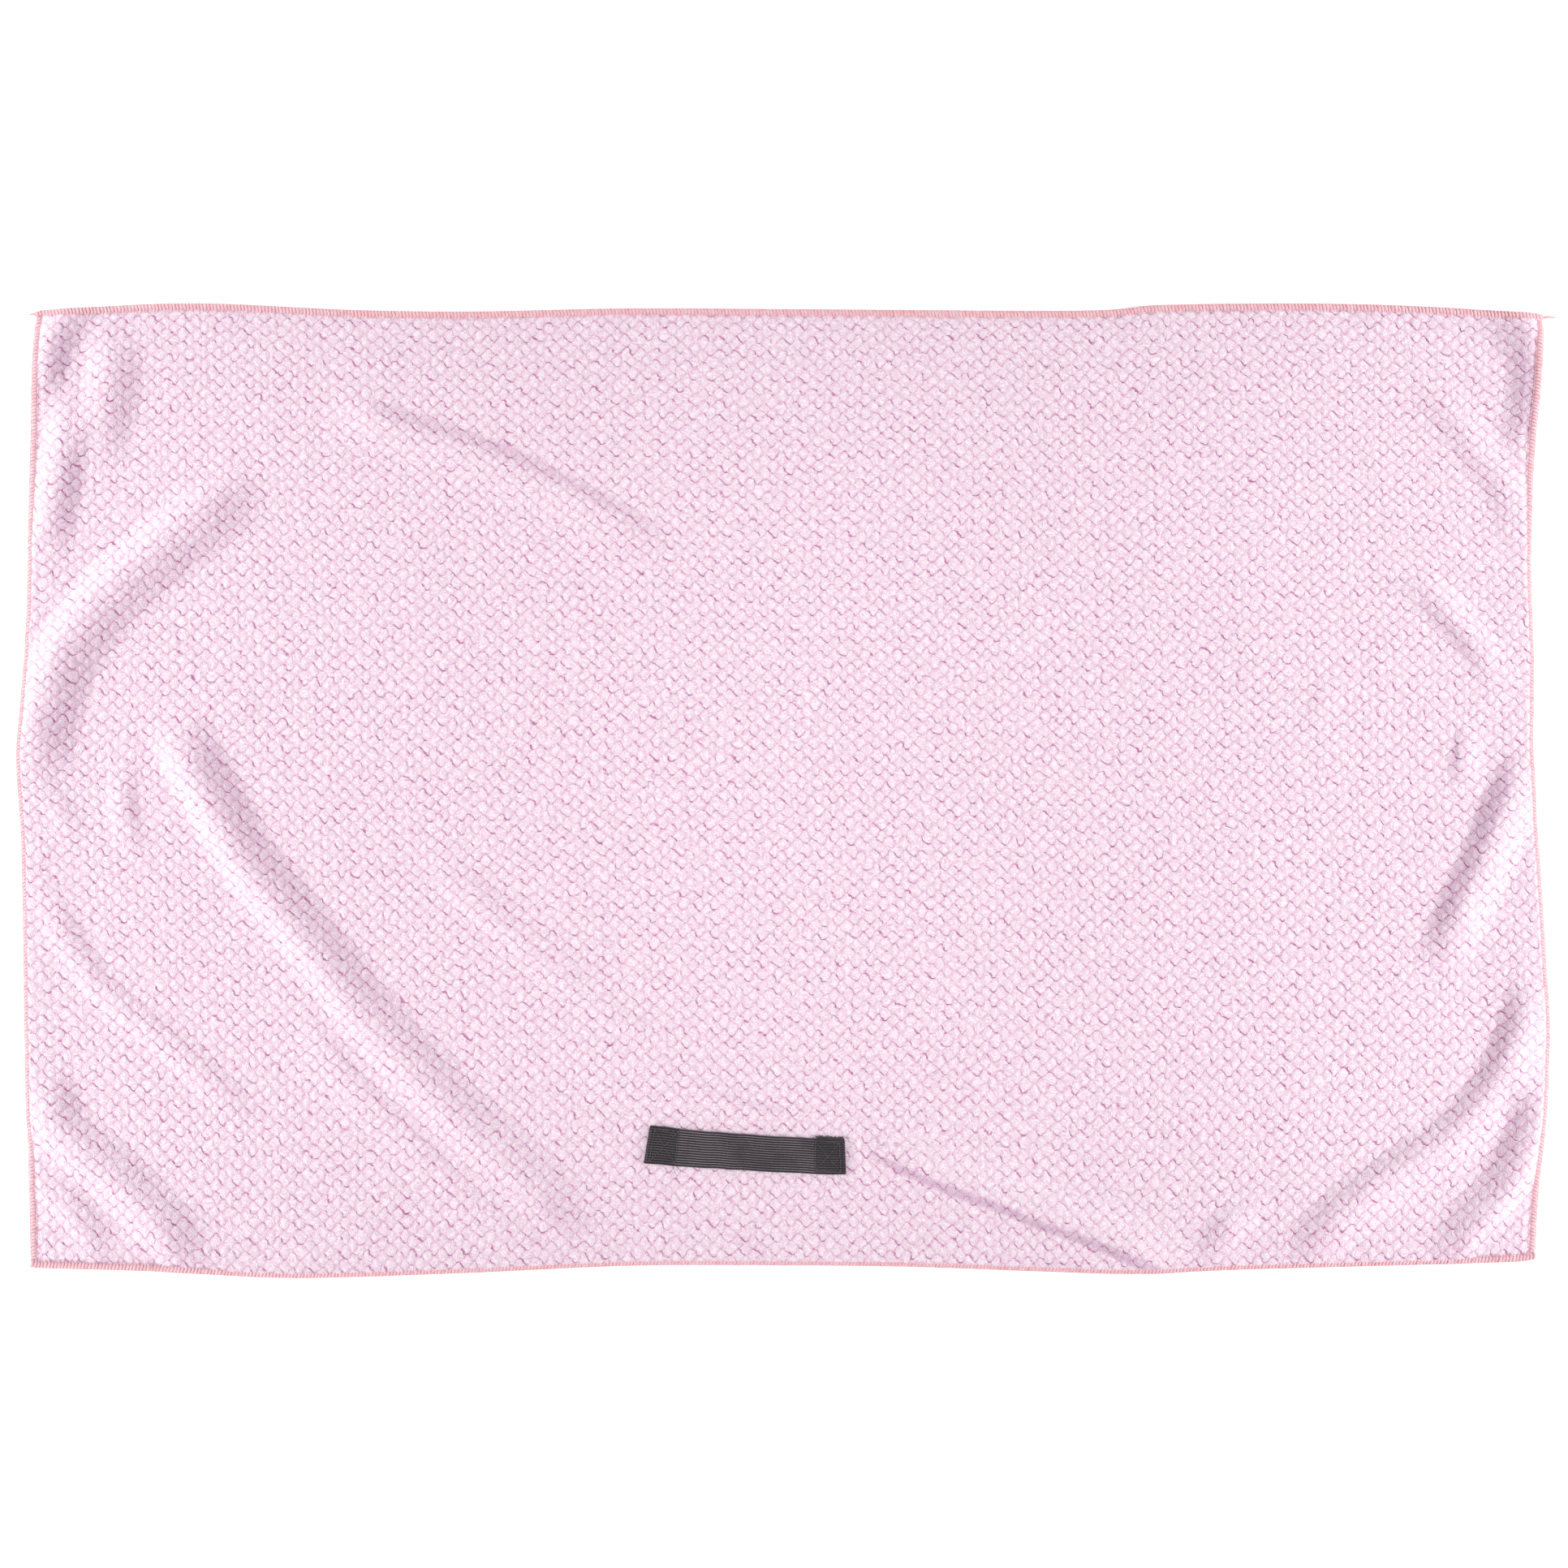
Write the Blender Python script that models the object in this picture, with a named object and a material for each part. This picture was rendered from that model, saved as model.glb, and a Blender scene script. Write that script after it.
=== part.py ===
"""Quick-dry fleece towel with an elastic carrying strap, lying face up on a flat surface.

Frame: metres, +X along the towel's long side, +Y towards its far long side, +Z up. The origin is on the
surface that the towel lies on, under the middle of its outline.

The cloth is one sheet. It is made here as two panels that meet at the fold line, so that its far third can
swing over the rest on a hinge. Its cut edge is bound all round with overlock thread. An elastic strap is sewn
on near the middle of the near side: both ends are turned under into a hem and held by a boxed cross of
stitches, and the band between them is free to be pulled up.
"""

import math
from collections import namedtuple

import bmesh
import bpy
import numpy as np
from mathutils import Euler, Vector

# ---- Driving dimensions -------------------------------------------------------------------------------

TOWEL_LENGTH = 1.100  # along X, over the bound edges
TOWEL_WIDTH = 0.700  # along Y, over the bound edges
CLOTH_THICKNESS = 0.0044  # ground knit with pile on both faces
SEAM_WIDTH = 0.0056  # overlock thread wound round the cut edge
SEAM_HEIGHT = 0.0036
CLEARANCE = 0.0003  # between pieces that touch on the real towel
CORNER_GAP = 0.0012  # between the seams that meet at a corner

FOLDED_SHARE = 1 / 3  # of the width, beyond the fold line
FOLD_LINE_GAP = 0.0004
FOLD_AXIS_HEIGHT = 0.0105  # half the thickness of the folded stack, rumples included

STRAP_LENGTH = 0.1450  # over both turned ends
STRAP_WIDTH = 0.0270
ELASTIC_THICKNESS = 0.0015
STRAP_FROM_NEAR_EDGE = 0.0880  # to the strap's centreline
STRAP_OFF_CENTRE = -0.0270  # along X
STRAP_TILT = math.radians(-3.6)
HEM_LENGTH = 0.0235
HEM_PLY_GAP = 0.0003

STITCH_THREAD = 0.0006  # width of a run of sewing thread
STITCH_HEIGHT = 0.0004
STITCH_BOX_MARGIN = 0.0022  # from the strap's long edges to the stitched box
STITCH_BOX_FROM_END = 0.0040  # from the turned end of the strap to the stitched box
STITCH_BOX_FROM_BAND = 0.0015  # from the stitched box to where the band comes free
BOBBIN_ROOM = 0.0009  # how far the sewn cloth is off the surface, over its lower thread

FRAY_LENGTH = 0.0200
FRAY_DEPTH = 0.0018
FRAY_HEIGHT = 0.0010
FRAY_TEETH = 7
THREAD_END_DIAMETER = 0.0005
TAIL_DIAMETER = 0.0034  # where the chain of thread leaves the seam
TAIL_TIP_DIAMETER = 0.0016
FAR_RIGHT_TAIL_LENGTH = 0.0110
FAR_LEFT_TAIL_LENGTH = 0.0050

# ---- Outline --------------------------------------------------------------------------------------------
# Each edge wanders a little from the straight. A point is (place along the edge, from -1 to 1; how far the
# edge stands outwards there, in metres).

FAR_EDGE = [
    (-1.00, -0.0010), (-0.79, 0.0046), (-0.57, -0.0002), (-0.41, -0.0013), (-0.20, 0.0010), (0.02, 0.0004),
    (0.39, -0.0007), (0.50, 0.0034), (0.68, 0.0046), (0.84, 0.0026), (1.00, -0.0030),
]
NEAR_EDGE = [
    (-1.00, -0.0025), (-0.84, 0.0000), (-0.68, 0.0046), (-0.57, 0.0042), (-0.41, 0.0010), (-0.20, -0.0040),
    (0.02, -0.0042), (0.18, -0.0030), (0.34, 0.0002), (0.47, 0.0020), (0.61, -0.0012), (0.93, -0.0060),
    (1.00, -0.0080),
]
LEFT_EDGE = [
    (-1.00, -0.0020), (-0.77, -0.0003), (-0.50, 0.0026), (-0.29, 0.0035), (-0.09, 0.0052), (0.05, 0.0080),
    (0.18, 0.0048), (0.38, 0.0010), (0.65, -0.0010), (0.86, -0.0034), (1.00, -0.0060),
]
RIGHT_EDGE = [
    (-1.00, -0.0030), (-0.83, 0.0004), (-0.56, 0.0080), (-0.43, 0.0070), (-0.22, 0.0028), (0.05, -0.0034),
    (0.25, -0.0030), (0.47, -0.0052), (0.72, -0.0026), (0.86, 0.0014), (1.00, 0.0030),
]

# ---- Rumples --------------------------------------------------------------------------------------------
# A rumple is a rounded ridge in the cloth. Its crest runs through points given as shares of the towel's half
# length and half width from its middle. height is its rise, and reach is from its crest to its foot.

Rumple = namedtuple("Rumple", "height reach crest")
RUMPLES = [
    Rumple(0.0074, 0.031, [(-0.82, 0.16), (-0.74, 0.00), (-0.66, -0.18), (-0.59, -0.33), (-0.515, -0.46),
                           (-0.445, -0.58), (-0.37, -0.70), (-0.29, -0.81), (-0.22, -0.93), (-0.18, -1.02)]),
    Rumple(0.0056, 0.030, [(-0.66, 0.65), (-0.78, 0.595), (-0.845, 0.53), (-0.91, 0.435), (-0.955, 0.33),
                           (-0.985, 0.20), (-0.995, 0.04)]),
    Rumple(0.0052, 0.022, [(-0.88, 1.00), (-0.895, 0.90), (-0.92, 0.79), (-0.95, 0.67), (-0.975, 0.55),
                           (-0.99, 0.42)]),
    Rumple(0.0036, 0.026, [(-0.60, 0.82), (-0.48, 0.755), (-0.38, 0.705), (-0.28, 0.635), (-0.15, 0.55)]),
    Rumple(0.0060, 0.025, [(-0.99, -0.52), (-0.965, -0.65), (-0.925, -0.75), (-0.865, -0.85), (-0.80, -0.95),
                           (-0.76, -1.03)]),
    Rumple(0.0030, 0.020, [(-0.97, -0.24), (-0.90, -0.37), (-0.82, -0.47), (-0.75, -0.58), (-0.67, -0.71)]),
    Rumple(0.0034, 0.028, [(-0.42, -0.19), (-0.29, -0.335), (-0.175, -0.45), (-0.06, -0.53), (0.05, -0.61),
                           (0.13, -0.70), (0.215, -0.81), (0.32, -0.89), (0.43, -0.96), (0.49, -1.03)]),
    Rumple(0.0030, 0.016, [(-0.14, -0.83), (-0.06, -0.90), (0.01, -1.02)]),
    Rumple(0.0052, 0.027, [(0.57, -1.04), (0.68, -0.915), (0.77, -0.835), (0.855, -0.765), (0.92, -0.69),
                           (0.96, -0.58), (0.985, -0.44), (1.00, -0.30)]),
    Rumple(0.0052, 0.021, [(0.87, -1.04), (0.945, -0.92), (0.98, -0.80), (1.00, -0.64)]),
    Rumple(0.0058, 0.024, [(0.98, 0.12), (0.955, 0.00), (0.933, -0.08), (0.905, -0.19), (0.872, -0.31),
                           (0.835, -0.44)]),
    Rumple(0.0030, 0.018, [(0.80, 0.49), (0.87, 0.38), (0.917, 0.30), (0.95, 0.18)]),
    Rumple(0.0035, 0.019, [(0.82, 0.86), (0.895, 0.73), (0.945, 0.645), (0.98, 0.53)]),
    Rumple(0.0046, 0.020, [(0.89, 1.02), (0.935, 0.91), (0.965, 0.80), (0.99, 0.65)]),
    Rumple(0.0028, 0.014, [(-0.91, 0.12), (-0.886, 0.00), (-0.865, -0.09), (-0.845, -0.20)]),
]
RUMPLE_TAPER = 0.055  # length over which a rumple rises at each of its ends
CREST_STEPS = 8  # straight pieces between two points of a crest

COLUMNS = 72  # faces of the cloth along X
MAIN_ROWS = 31  # and along Y, on the near side of the fold line
FAR_ROWS = 15  # and on its far side
SEAM_SIDES = 8

# ---- Places worked out from the dimensions --------------------------------------------------------------

HALF_LENGTH = TOWEL_LENGTH / 2
HALF_WIDTH = TOWEL_WIDTH / 2
EDGE_INSET = SEAM_WIDTH + CLEARANCE  # from the outline in to the panels
FOLD_LINE_Y = HALF_WIDTH - TOWEL_WIDTH * FOLDED_SHARE
STRAP_CENTRE = Vector((STRAP_OFF_CENTRE, STRAP_FROM_NEAR_EDGE - HALF_WIDTH, 0))
STRAP_FLAT_MARGIN = 0.022  # cloth held flat around the strap by its stitches
STRAP_FLAT_FADE = 0.022  # beyond that, the rumples rise again over this distance
SEWN_CLOTH_TOP = BOBBIN_ROOM + CLOTH_THICKNESS
LOWER_PLY_Z = SEWN_CLOTH_TOP + CLEARANCE
UPPER_PLY_Z = LOWER_PLY_Z + ELASTIC_THICKNESS + HEM_PLY_GAP
STRAP_TOP_Z = UPPER_PLY_Z + ELASTIC_THICKNESS
STITCH_BOX_LENGTH = HEM_LENGTH - STITCH_BOX_FROM_END - STITCH_BOX_FROM_BAND


# ---- Shape of the lying cloth ---------------------------------------------------------------------------


def smooth_line(points, steps):
    """Points along a smooth curve (Catmull-Rom) through the given points."""
    p = np.array(points, float)
    p = np.vstack([2 * p[0] - p[1], p, 2 * p[-1] - p[-2]])
    t = np.arange(steps)[:, None] / steps
    runs = [
        0.5 * (2 * b + (c - a) * t + (2 * a - 5 * b + 4 * c - d) * t**2 + (3 * b - a - 3 * c + d) * t**3)
        for a, b, c, d in zip(p, p[1:], p[2:], p[3:])
    ]
    return np.vstack([*runs, p[-2]])


def smooth_step(t):
    t = np.clip(t, 0.0, 1.0)
    return t * t * (3 - 2 * t)


def edge_offset(edge, share):
    """How far an edge stands outwards at a share, -1 to 1, of the way along it."""
    line = smooth_line(edge, CREST_STEPS)
    return float(np.interp(share, line[:, 0], line[:, 1]))


def near_y(x):
    return -HALF_WIDTH - edge_offset(NEAR_EDGE, x / HALF_LENGTH)


def far_y(x):
    return HALF_WIDTH + edge_offset(FAR_EDGE, x / HALF_LENGTH)


def left_x(y):
    return -HALF_LENGTH - edge_offset(LEFT_EDGE, y / HALF_WIDTH)


def right_x(y):
    return HALF_LENGTH + edge_offset(RIGHT_EDGE, y / HALF_WIDTH)


def crest_line(rumple):
    return smooth_line(np.array(rumple.crest) * (HALF_LENGTH, HALF_WIDTH), CREST_STEPS)


CRESTS = [(rumple, crest_line(rumple)) for rumple in RUMPLES]


def rumple_height(rumple, line, place):
    """The rise of one rumple at a place, as a rounded ridge that tapers off along its crest."""
    starts, runs = line[:-1], np.diff(line, axis=0)
    lengths = np.linalg.norm(runs, axis=1)
    along = np.clip(((place - starts) * runs).sum(axis=1) / lengths**2, 0, 1)
    distances = np.linalg.norm(starts + runs * along[:, None] - place, axis=1)
    nearest = int(distances.argmin())
    if distances[nearest] >= rumple.reach:
        return 0.0
    travelled = lengths[:nearest].sum() + along[nearest] * lengths[nearest]
    taper = smooth_step(min(travelled, lengths.sum() - travelled) / RUMPLE_TAPER)
    return rumple.height * taper * (1 - (distances[nearest] / rumple.reach) ** 2) ** 2


def strap_hold(place):
    """1 under the strap, where its stitches hold the cloth flat, falling to 0 away from it."""
    offset = Vector((*place, 0)) - STRAP_CENTRE
    offset.rotate(Euler((0, 0, -STRAP_TILT)))
    outside_x = max(0.0, abs(offset.x) - STRAP_LENGTH / 2 - STRAP_FLAT_MARGIN)
    outside_y = max(0.0, abs(offset.y) - STRAP_WIDTH / 2 - STRAP_FLAT_MARGIN)
    return 1 - smooth_step(math.hypot(outside_x, outside_y) / STRAP_FLAT_FADE)


def lie(x, y):
    """Height of the cloth's underside above the surface."""
    place = np.array((x, y))
    rise = sum(rumple_height(rumple, line, place) for rumple, line in CRESTS)
    hold = strap_hold(place)
    return float(rise * (1 - hold) + BOBBIN_ROOM * hold)


def panel_points(low_y, high_y, rows):
    """A grid of the cloth's underside, row by row from near to far, inside the bound edges."""
    grid = []
    for t in np.linspace(0, 1, rows + 1):
        row = []
        for s in np.linspace(0, 1, COLUMNS + 1):
            x = (2 * s - 1) * HALF_LENGTH
            for _ in range(2):
                y = low_y(x) * (1 - t) + high_y(x) * t
                x = (left_x(y) + EDGE_INSET) * (1 - s) + (right_x(y) - EDGE_INSET) * s
            row.append(Vector((x, y, lie(x, y))))
        grid.append(row)
    return grid


# ---- Building helpers -----------------------------------------------------------------------------------


def material(name, colour, roughness, metallic=0.0):
    made = bpy.data.materials.new(name)
    made.use_nodes = True
    shader = made.node_tree.nodes["Principled BSDF"]
    shader.inputs["Base Color"].default_value = (*colour, 1.0)
    shader.inputs["Roughness"].default_value = roughness
    shader.inputs["Metallic"].default_value = metallic
    return made


def place_object(name, data, finish, parent=None):
    made = bpy.data.objects.new(name, data)
    bpy.context.scene.collection.objects.link(made)
    data.materials.append(finish)
    made.parent = parent
    return made


def mesh_object(name, shape, finish, parent=None):
    """An object from a bmesh, with its faces turned outwards."""
    bmesh.ops.recalc_face_normals(shape, faces=shape.faces[:])
    mesh = bpy.data.meshes.new(name)
    shape.to_mesh(mesh)
    shape.free()
    return place_object(name, mesh, finish, parent)


def tube(name, points, radii, finish, parent=None):
    """A round tube with capped ends along a list of points. radii is one radius, or one for each point."""
    curve = bpy.data.curves.new(name, "CURVE")
    curve.dimensions = "3D"
    curve.bevel_depth = 1.0
    curve.bevel_resolution = 2
    curve.use_fill_caps = True
    curve.twist_mode = "Z_UP"
    spline = curve.splines.new("POLY")
    spline.points.add(len(points) - 1)
    for i, point in enumerate(points):
        spline.points[i].co = (*point, 1.0)
        spline.points[i].radius = radii if isinstance(radii, float) else radii[i]
    return place_object(name, curve, finish, parent)


def slab(outline, low, height):
    """A bmesh of a flat outline in the XY plane, extruded upwards."""
    shape = bmesh.new()
    face = shape.faces.new([shape.verts.new((*corner, low)) for corner in outline])
    risen = bmesh.ops.extrude_face_region(shape, geom=[face])["geom"]
    verts = [part for part in risen if isinstance(part, bmesh.types.BMVert)]
    bmesh.ops.translate(shape, verts=verts, vec=(0, 0, height))
    return shape


# ---- Cloth and its bound edges --------------------------------------------------------------------------


def cloth_panel(name, grid, finish):
    """A panel of cloth: the grid of its underside, raised by the thickness of the cloth."""
    shape = bmesh.new()
    rows = [[shape.verts.new(point) for point in row] for row in grid]
    faces = [
        shape.faces.new((near[i], near[i + 1], far[i + 1], far[i]))
        for near, far in zip(rows, rows[1:])
        for i in range(COLUMNS)
    ]
    risen = bmesh.ops.extrude_face_region(shape, geom=faces)["geom"]
    verts = [part for part in risen if isinstance(part, bmesh.types.BMVert)]
    bmesh.ops.translate(shape, verts=verts, vec=(0, 0, CLOTH_THICKNESS))
    return mesh_object(name, shape, finish)


def seam_line(border, outwards, past_start, past_end):
    """The middle of the seam along a panel's border, running past its first and last points by two lengths."""
    shift = Vector(outwards) * (CLEARANCE + SEAM_WIDTH / 2) + Vector((0, 0, SEAM_HEIGHT / 2))
    points = [point + shift for point in border]
    for end, inner, past in ((0, 1, past_start), (-1, -2, past_end)):
        onwards = points[end] - points[inner]
        onwards.z = 0
        points[end] += onwards.normalized() * past
    return points


def bound_edge(name, points, finish):
    """Overlock thread wound along a line: an oval section swept along it, level across."""
    angles = [math.tau * i / SEAM_SIDES for i in range(SEAM_SIDES)]
    section = [(SEAM_WIDTH / 2 * math.cos(a), SEAM_HEIGHT / 2 * math.sin(a)) for a in angles]
    shape = bmesh.new()
    rings = []
    for i, point in enumerate(points):
        ahead = points[min(i + 1, len(points) - 1)] - points[max(i - 1, 0)]
        across = Vector((-ahead.y, ahead.x, 0)).normalized()
        rings.append([shape.verts.new(point + across * u + Vector((0, 0, v))) for u, v in section])
    for ring, after in zip(rings, rings[1:]):
        for i in range(SEAM_SIDES):
            shape.faces.new((ring[i - 1], ring[i], after[i], after[i - 1]))
    shape.faces.new(rings[0])
    shape.faces.new(rings[-1])
    mesh_object(name, shape, finish)


def thread_tail(name, corner, direction, length, finish):
    """The chain of thread that runs off a corner where one overlocked edge ends."""
    start = corner + Vector(direction) * CLEARANCE
    shares = (0.0, 0.5, 1.0)
    points = [start + Vector(direction) * length * share for share in shares]
    radii = [(TAIL_DIAMETER + (TAIL_TIP_DIAMETER - TAIL_DIAMETER) * share) / 2 for share in shares]
    tube(name, points, radii, finish)


def build_cloth(cloth, thread):
    main = panel_points(lambda x: near_y(x) + EDGE_INSET, lambda x: FOLD_LINE_Y - FOLD_LINE_GAP / 2, MAIN_ROWS)
    far = panel_points(lambda x: FOLD_LINE_Y + FOLD_LINE_GAP / 2, lambda x: far_y(x) - EDGE_INSET, FAR_ROWS)
    cloth_panel("cloth_main_panel", main, cloth)
    cloth_panel("cloth_far_third", far, cloth)

    far_seam = seam_line(far[-1], (0, 1, 0), EDGE_INSET, EDGE_INSET)
    bound_edge("overlock_far_edge", far_seam, thread)
    bound_edge("overlock_near_edge", seam_line(main[0], (0, -1, 0), EDGE_INSET, EDGE_INSET), thread)
    for side, column, outwards in (("left", 0, (-1, 0, 0)), ("right", -1, (1, 0, 0))):
        main_side = seam_line([row[column] for row in main], outwards, -CORNER_GAP, 0.0)
        far_side = seam_line([row[column] for row in far], outwards, 0.0, -CORNER_GAP)
        bound_edge(f"overlock_{side}_main", main_side, thread)
        bound_edge(f"overlock_{side}_far", far_side, thread)

    thread_tail("thread_tail_far_right", far_seam[-1], (1, 0, 0), FAR_RIGHT_TAIL_LENGTH, thread)
    thread_tail("thread_tail_far_left", far_seam[0], (-1, 0, 0), FAR_LEFT_TAIL_LENGTH, thread)


# ---- Strap ----------------------------------------------------------------------------------------------


def hem_profile():
    """Side view of a turned end, x from the fold inwards: two plies of elastic joined by a round bend."""
    bend_radius = (2 * ELASTIC_THICKNESS + HEM_PLY_GAP) / 2
    middle_z = LOWER_PLY_Z + bend_radius
    bend_steps = 8
    angles = [math.pi / 2 + math.pi * i / bend_steps for i in range(bend_steps + 1)]
    outer = [
        (bend_radius + bend_radius * math.cos(a), middle_z + bend_radius * math.sin(a)) for a in angles
    ]
    slot = HEM_PLY_GAP / 2
    inner = [(HEM_LENGTH, middle_z - slot), (bend_radius, middle_z - slot), (bend_radius, middle_z + slot)]
    return [(HEM_LENGTH, STRAP_TOP_Z), *outer, (HEM_LENGTH, LOWER_PLY_Z), *inner, (HEM_LENGTH, middle_z + slot)]


def strap_hem(name, side, finish, parent):
    """The end of the strap on one side, -1 left or 1 right, turned under and sewn down."""
    shape = bmesh.new()
    end_x = side * STRAP_LENGTH / 2
    verts = [shape.verts.new((end_x - side * x, -STRAP_WIDTH / 2, z)) for x, z in hem_profile()]
    face = shape.faces.new(verts)
    risen = bmesh.ops.extrude_face_region(shape, geom=[face])["geom"]
    moved = [part for part in risen if isinstance(part, bmesh.types.BMVert)]
    bmesh.ops.translate(shape, verts=moved, vec=(0, STRAP_WIDTH, 0))
    return mesh_object(name, shape, finish, parent)


def strap_band(name, finish, parent):
    """The free stretch of elastic between the two hems, level with their upper plies."""
    half = STRAP_LENGTH / 2 - HEM_LENGTH - CLEARANCE
    w = STRAP_WIDTH / 2
    return mesh_object(
        name, slab([(-half, -w), (half, -w), (half, w), (-half, w)], UPPER_PLY_Z, ELASTIC_THICKNESS), finish, parent
    )


def stitch_box(name, side, low, finish, parent):
    """A boxed cross of stitches: a plate of thread with the four triangles between its runs cut out."""
    half_x = STITCH_BOX_LENGTH / 2
    half_y = STRAP_WIDTH / 2 - STITCH_BOX_MARGIN
    plate = mesh_object(
        name,
        slab([(-half_x, -half_y), (half_x, -half_y), (half_x, half_y), (-half_x, half_y)], low, STITCH_HEIGHT),
        finish,
        parent,
    )
    centre_x = side * (STRAP_LENGTH / 2 - STITCH_BOX_FROM_END - half_x)
    plate.location.x = centre_x

    diagonal = math.hypot(half_x, half_y)
    wide, deep = half_x - STITCH_THREAD, half_y - STITCH_THREAD  # inside the box's outer runs
    apex_y = STITCH_THREAD / 2 * diagonal / half_x  # the diagonals' half width, measured along Y
    apex_x = STITCH_THREAD / 2 * diagonal / half_y  # and along X
    slope = half_y / half_x
    windows = []
    for sign in (-1, 1):
        run_x = (deep - apex_y) / slope
        windows.append([(0, sign * apex_y), (run_x, sign * deep), (-run_x, sign * deep)])
        run_y = (wide - apex_x) * slope
        windows.append([(sign * apex_x, 0), (sign * wide, run_y), (sign * wide, -run_y)])
    for number, window in enumerate(windows):
        cutter = mesh_object(
            f"{name}_window_{number}", slab(window, low - STITCH_HEIGHT, 3 * STITCH_HEIGHT), finish, plate
        )
        cutter.hide_render = True
        cutter.display_type = "WIRE"
        cut = plate.modifiers.new(f"window_{number}", "BOOLEAN")
        cut.operation = "DIFFERENCE"
        cut.object = cutter
    return plate


def frayed_edge(name, finish, parent):
    """The raw end of the right hem, showing as a ragged fringe along the strap's far edge."""
    base_y = STRAP_WIDTH / 2 + CLEARANCE
    end_x = STRAP_LENGTH / 2 - STITCH_BOX_FROM_END / 2
    tooth = FRAY_LENGTH / FRAY_TEETH
    outline = [(end_x, base_y), (end_x - FRAY_LENGTH, base_y)]
    for i in range(FRAY_TEETH):
        start = end_x - FRAY_LENGTH + i * tooth
        depth = FRAY_DEPTH * (0.6 + 0.4 * math.cos(2.4 * i))
        outline.append((start + 0.25 * tooth, base_y + depth))
        outline.append((start + 0.75 * tooth, base_y + 0.45 * depth))
    outline.append((end_x, base_y + 0.5 * FRAY_DEPTH))
    return mesh_object(name, slab(outline[::-1], LOWER_PLY_Z, FRAY_HEIGHT), finish, parent)


def loose_thread(name, finish, parent):
    """The cut end of the sewing thread, lying on the cloth beside the left hem's inner near corner."""
    radius = THREAD_END_DIAMETER / 2
    x = -STRAP_LENGTH / 2 + HEM_LENGTH - 0.002
    y = -STRAP_WIDTH / 2 - CLEARANCE - 2 * radius
    z = SEWN_CLOTH_TOP + CLEARANCE + radius
    route = [(0.0, 0.0), (0.0004, -0.0012), (0.0012, -0.0025), (0.0024, -0.0038), (0.0038, -0.0048)]
    line = smooth_line(route, 3)
    return tube(name, [(x + dx, y + dy, z) for dx, dy in line], radius, finish, parent)


def build_strap(elastic, sewing_thread):
    frame = bpy.data.objects.new("strap_frame", None)
    bpy.context.scene.collection.objects.link(frame)
    frame.location = STRAP_CENTRE
    frame.rotation_euler.z = STRAP_TILT

    strap_band("strap_band", elastic, frame)
    for side, word in ((-1, "left"), (1, "right")):
        strap_hem(f"strap_hem_{word}", side, elastic, frame)
        stitch_box(f"box_stitch_{word}", side, STRAP_TOP_Z + CLEARANCE, sewing_thread, frame)
        lower = BOBBIN_ROOM - CLEARANCE - STITCH_HEIGHT
        stitch_box(f"bobbin_stitch_{word}", side, lower, sewing_thread, frame)
    frayed_edge("strap_frayed_edge", elastic, frame)
    loose_thread("strap_loose_thread", sewing_thread, frame)


# ---- Fold axis ------------------------------------------------------------------------------------------


def mark_fold_axis():
    """An empty on the axis that the far third swings on, with the far third's pieces under it."""
    axis = bpy.data.objects.new("fold_axis", None)
    bpy.context.scene.collection.objects.link(axis)
    axis.location = (0, FOLD_LINE_Y, FOLD_AXIS_HEIGHT)
    bpy.context.view_layer.update()
    swinging = ("cloth_far_third", "overlock_far_edge", "overlock_left_far", "overlock_right_far",
                "thread_tail_far_right", "thread_tail_far_left")
    for name in swinging:
        piece = bpy.data.objects[name]
        piece.parent = axis
        piece.matrix_parent_inverse = axis.matrix_world.inverted()


def main():
    for old in list(bpy.data.objects):
        bpy.data.objects.remove(old)
    cloth = material("pink_fleece", (0.88, 0.71, 0.80), 0.95)
    edge_thread = material("salmon_overlock_thread", (0.90, 0.52, 0.55), 0.7)
    elastic = material("black_elastic", (0.035, 0.035, 0.042), 0.6)
    sewing_thread = material("black_thread", (0.02, 0.02, 0.025), 0.55)
    build_cloth(cloth, edge_thread)
    build_strap(elastic, sewing_thread)
    mark_fold_axis()


main()
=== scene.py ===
"""Looks of the quick-dry fleece towel: lumpy pile cloth, overlocked edges and a sewn elastic strap.

Metres, +X along the towel's long side, +Y away from the side with the strap, +Z up.
"""

import math
from collections import namedtuple

import bpy
import numpy as np
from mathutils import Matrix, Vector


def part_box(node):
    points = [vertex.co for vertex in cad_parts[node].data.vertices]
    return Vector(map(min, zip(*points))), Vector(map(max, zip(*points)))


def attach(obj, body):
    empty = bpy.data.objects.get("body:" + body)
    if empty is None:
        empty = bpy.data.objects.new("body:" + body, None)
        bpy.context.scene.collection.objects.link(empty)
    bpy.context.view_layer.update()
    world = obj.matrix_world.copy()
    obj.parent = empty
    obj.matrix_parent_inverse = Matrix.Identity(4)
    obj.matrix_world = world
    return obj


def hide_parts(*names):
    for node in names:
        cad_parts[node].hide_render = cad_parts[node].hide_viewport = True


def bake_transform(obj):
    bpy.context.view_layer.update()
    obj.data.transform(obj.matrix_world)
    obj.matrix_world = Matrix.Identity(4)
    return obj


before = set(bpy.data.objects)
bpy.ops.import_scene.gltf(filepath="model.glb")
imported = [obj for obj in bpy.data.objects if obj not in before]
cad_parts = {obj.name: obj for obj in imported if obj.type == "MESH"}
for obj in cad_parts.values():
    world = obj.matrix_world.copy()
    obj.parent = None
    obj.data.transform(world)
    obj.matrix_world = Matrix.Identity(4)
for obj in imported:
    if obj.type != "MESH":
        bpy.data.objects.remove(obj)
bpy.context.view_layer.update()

# ---- Dimensions shared with the solids --------------------------------------------------------------------

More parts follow.
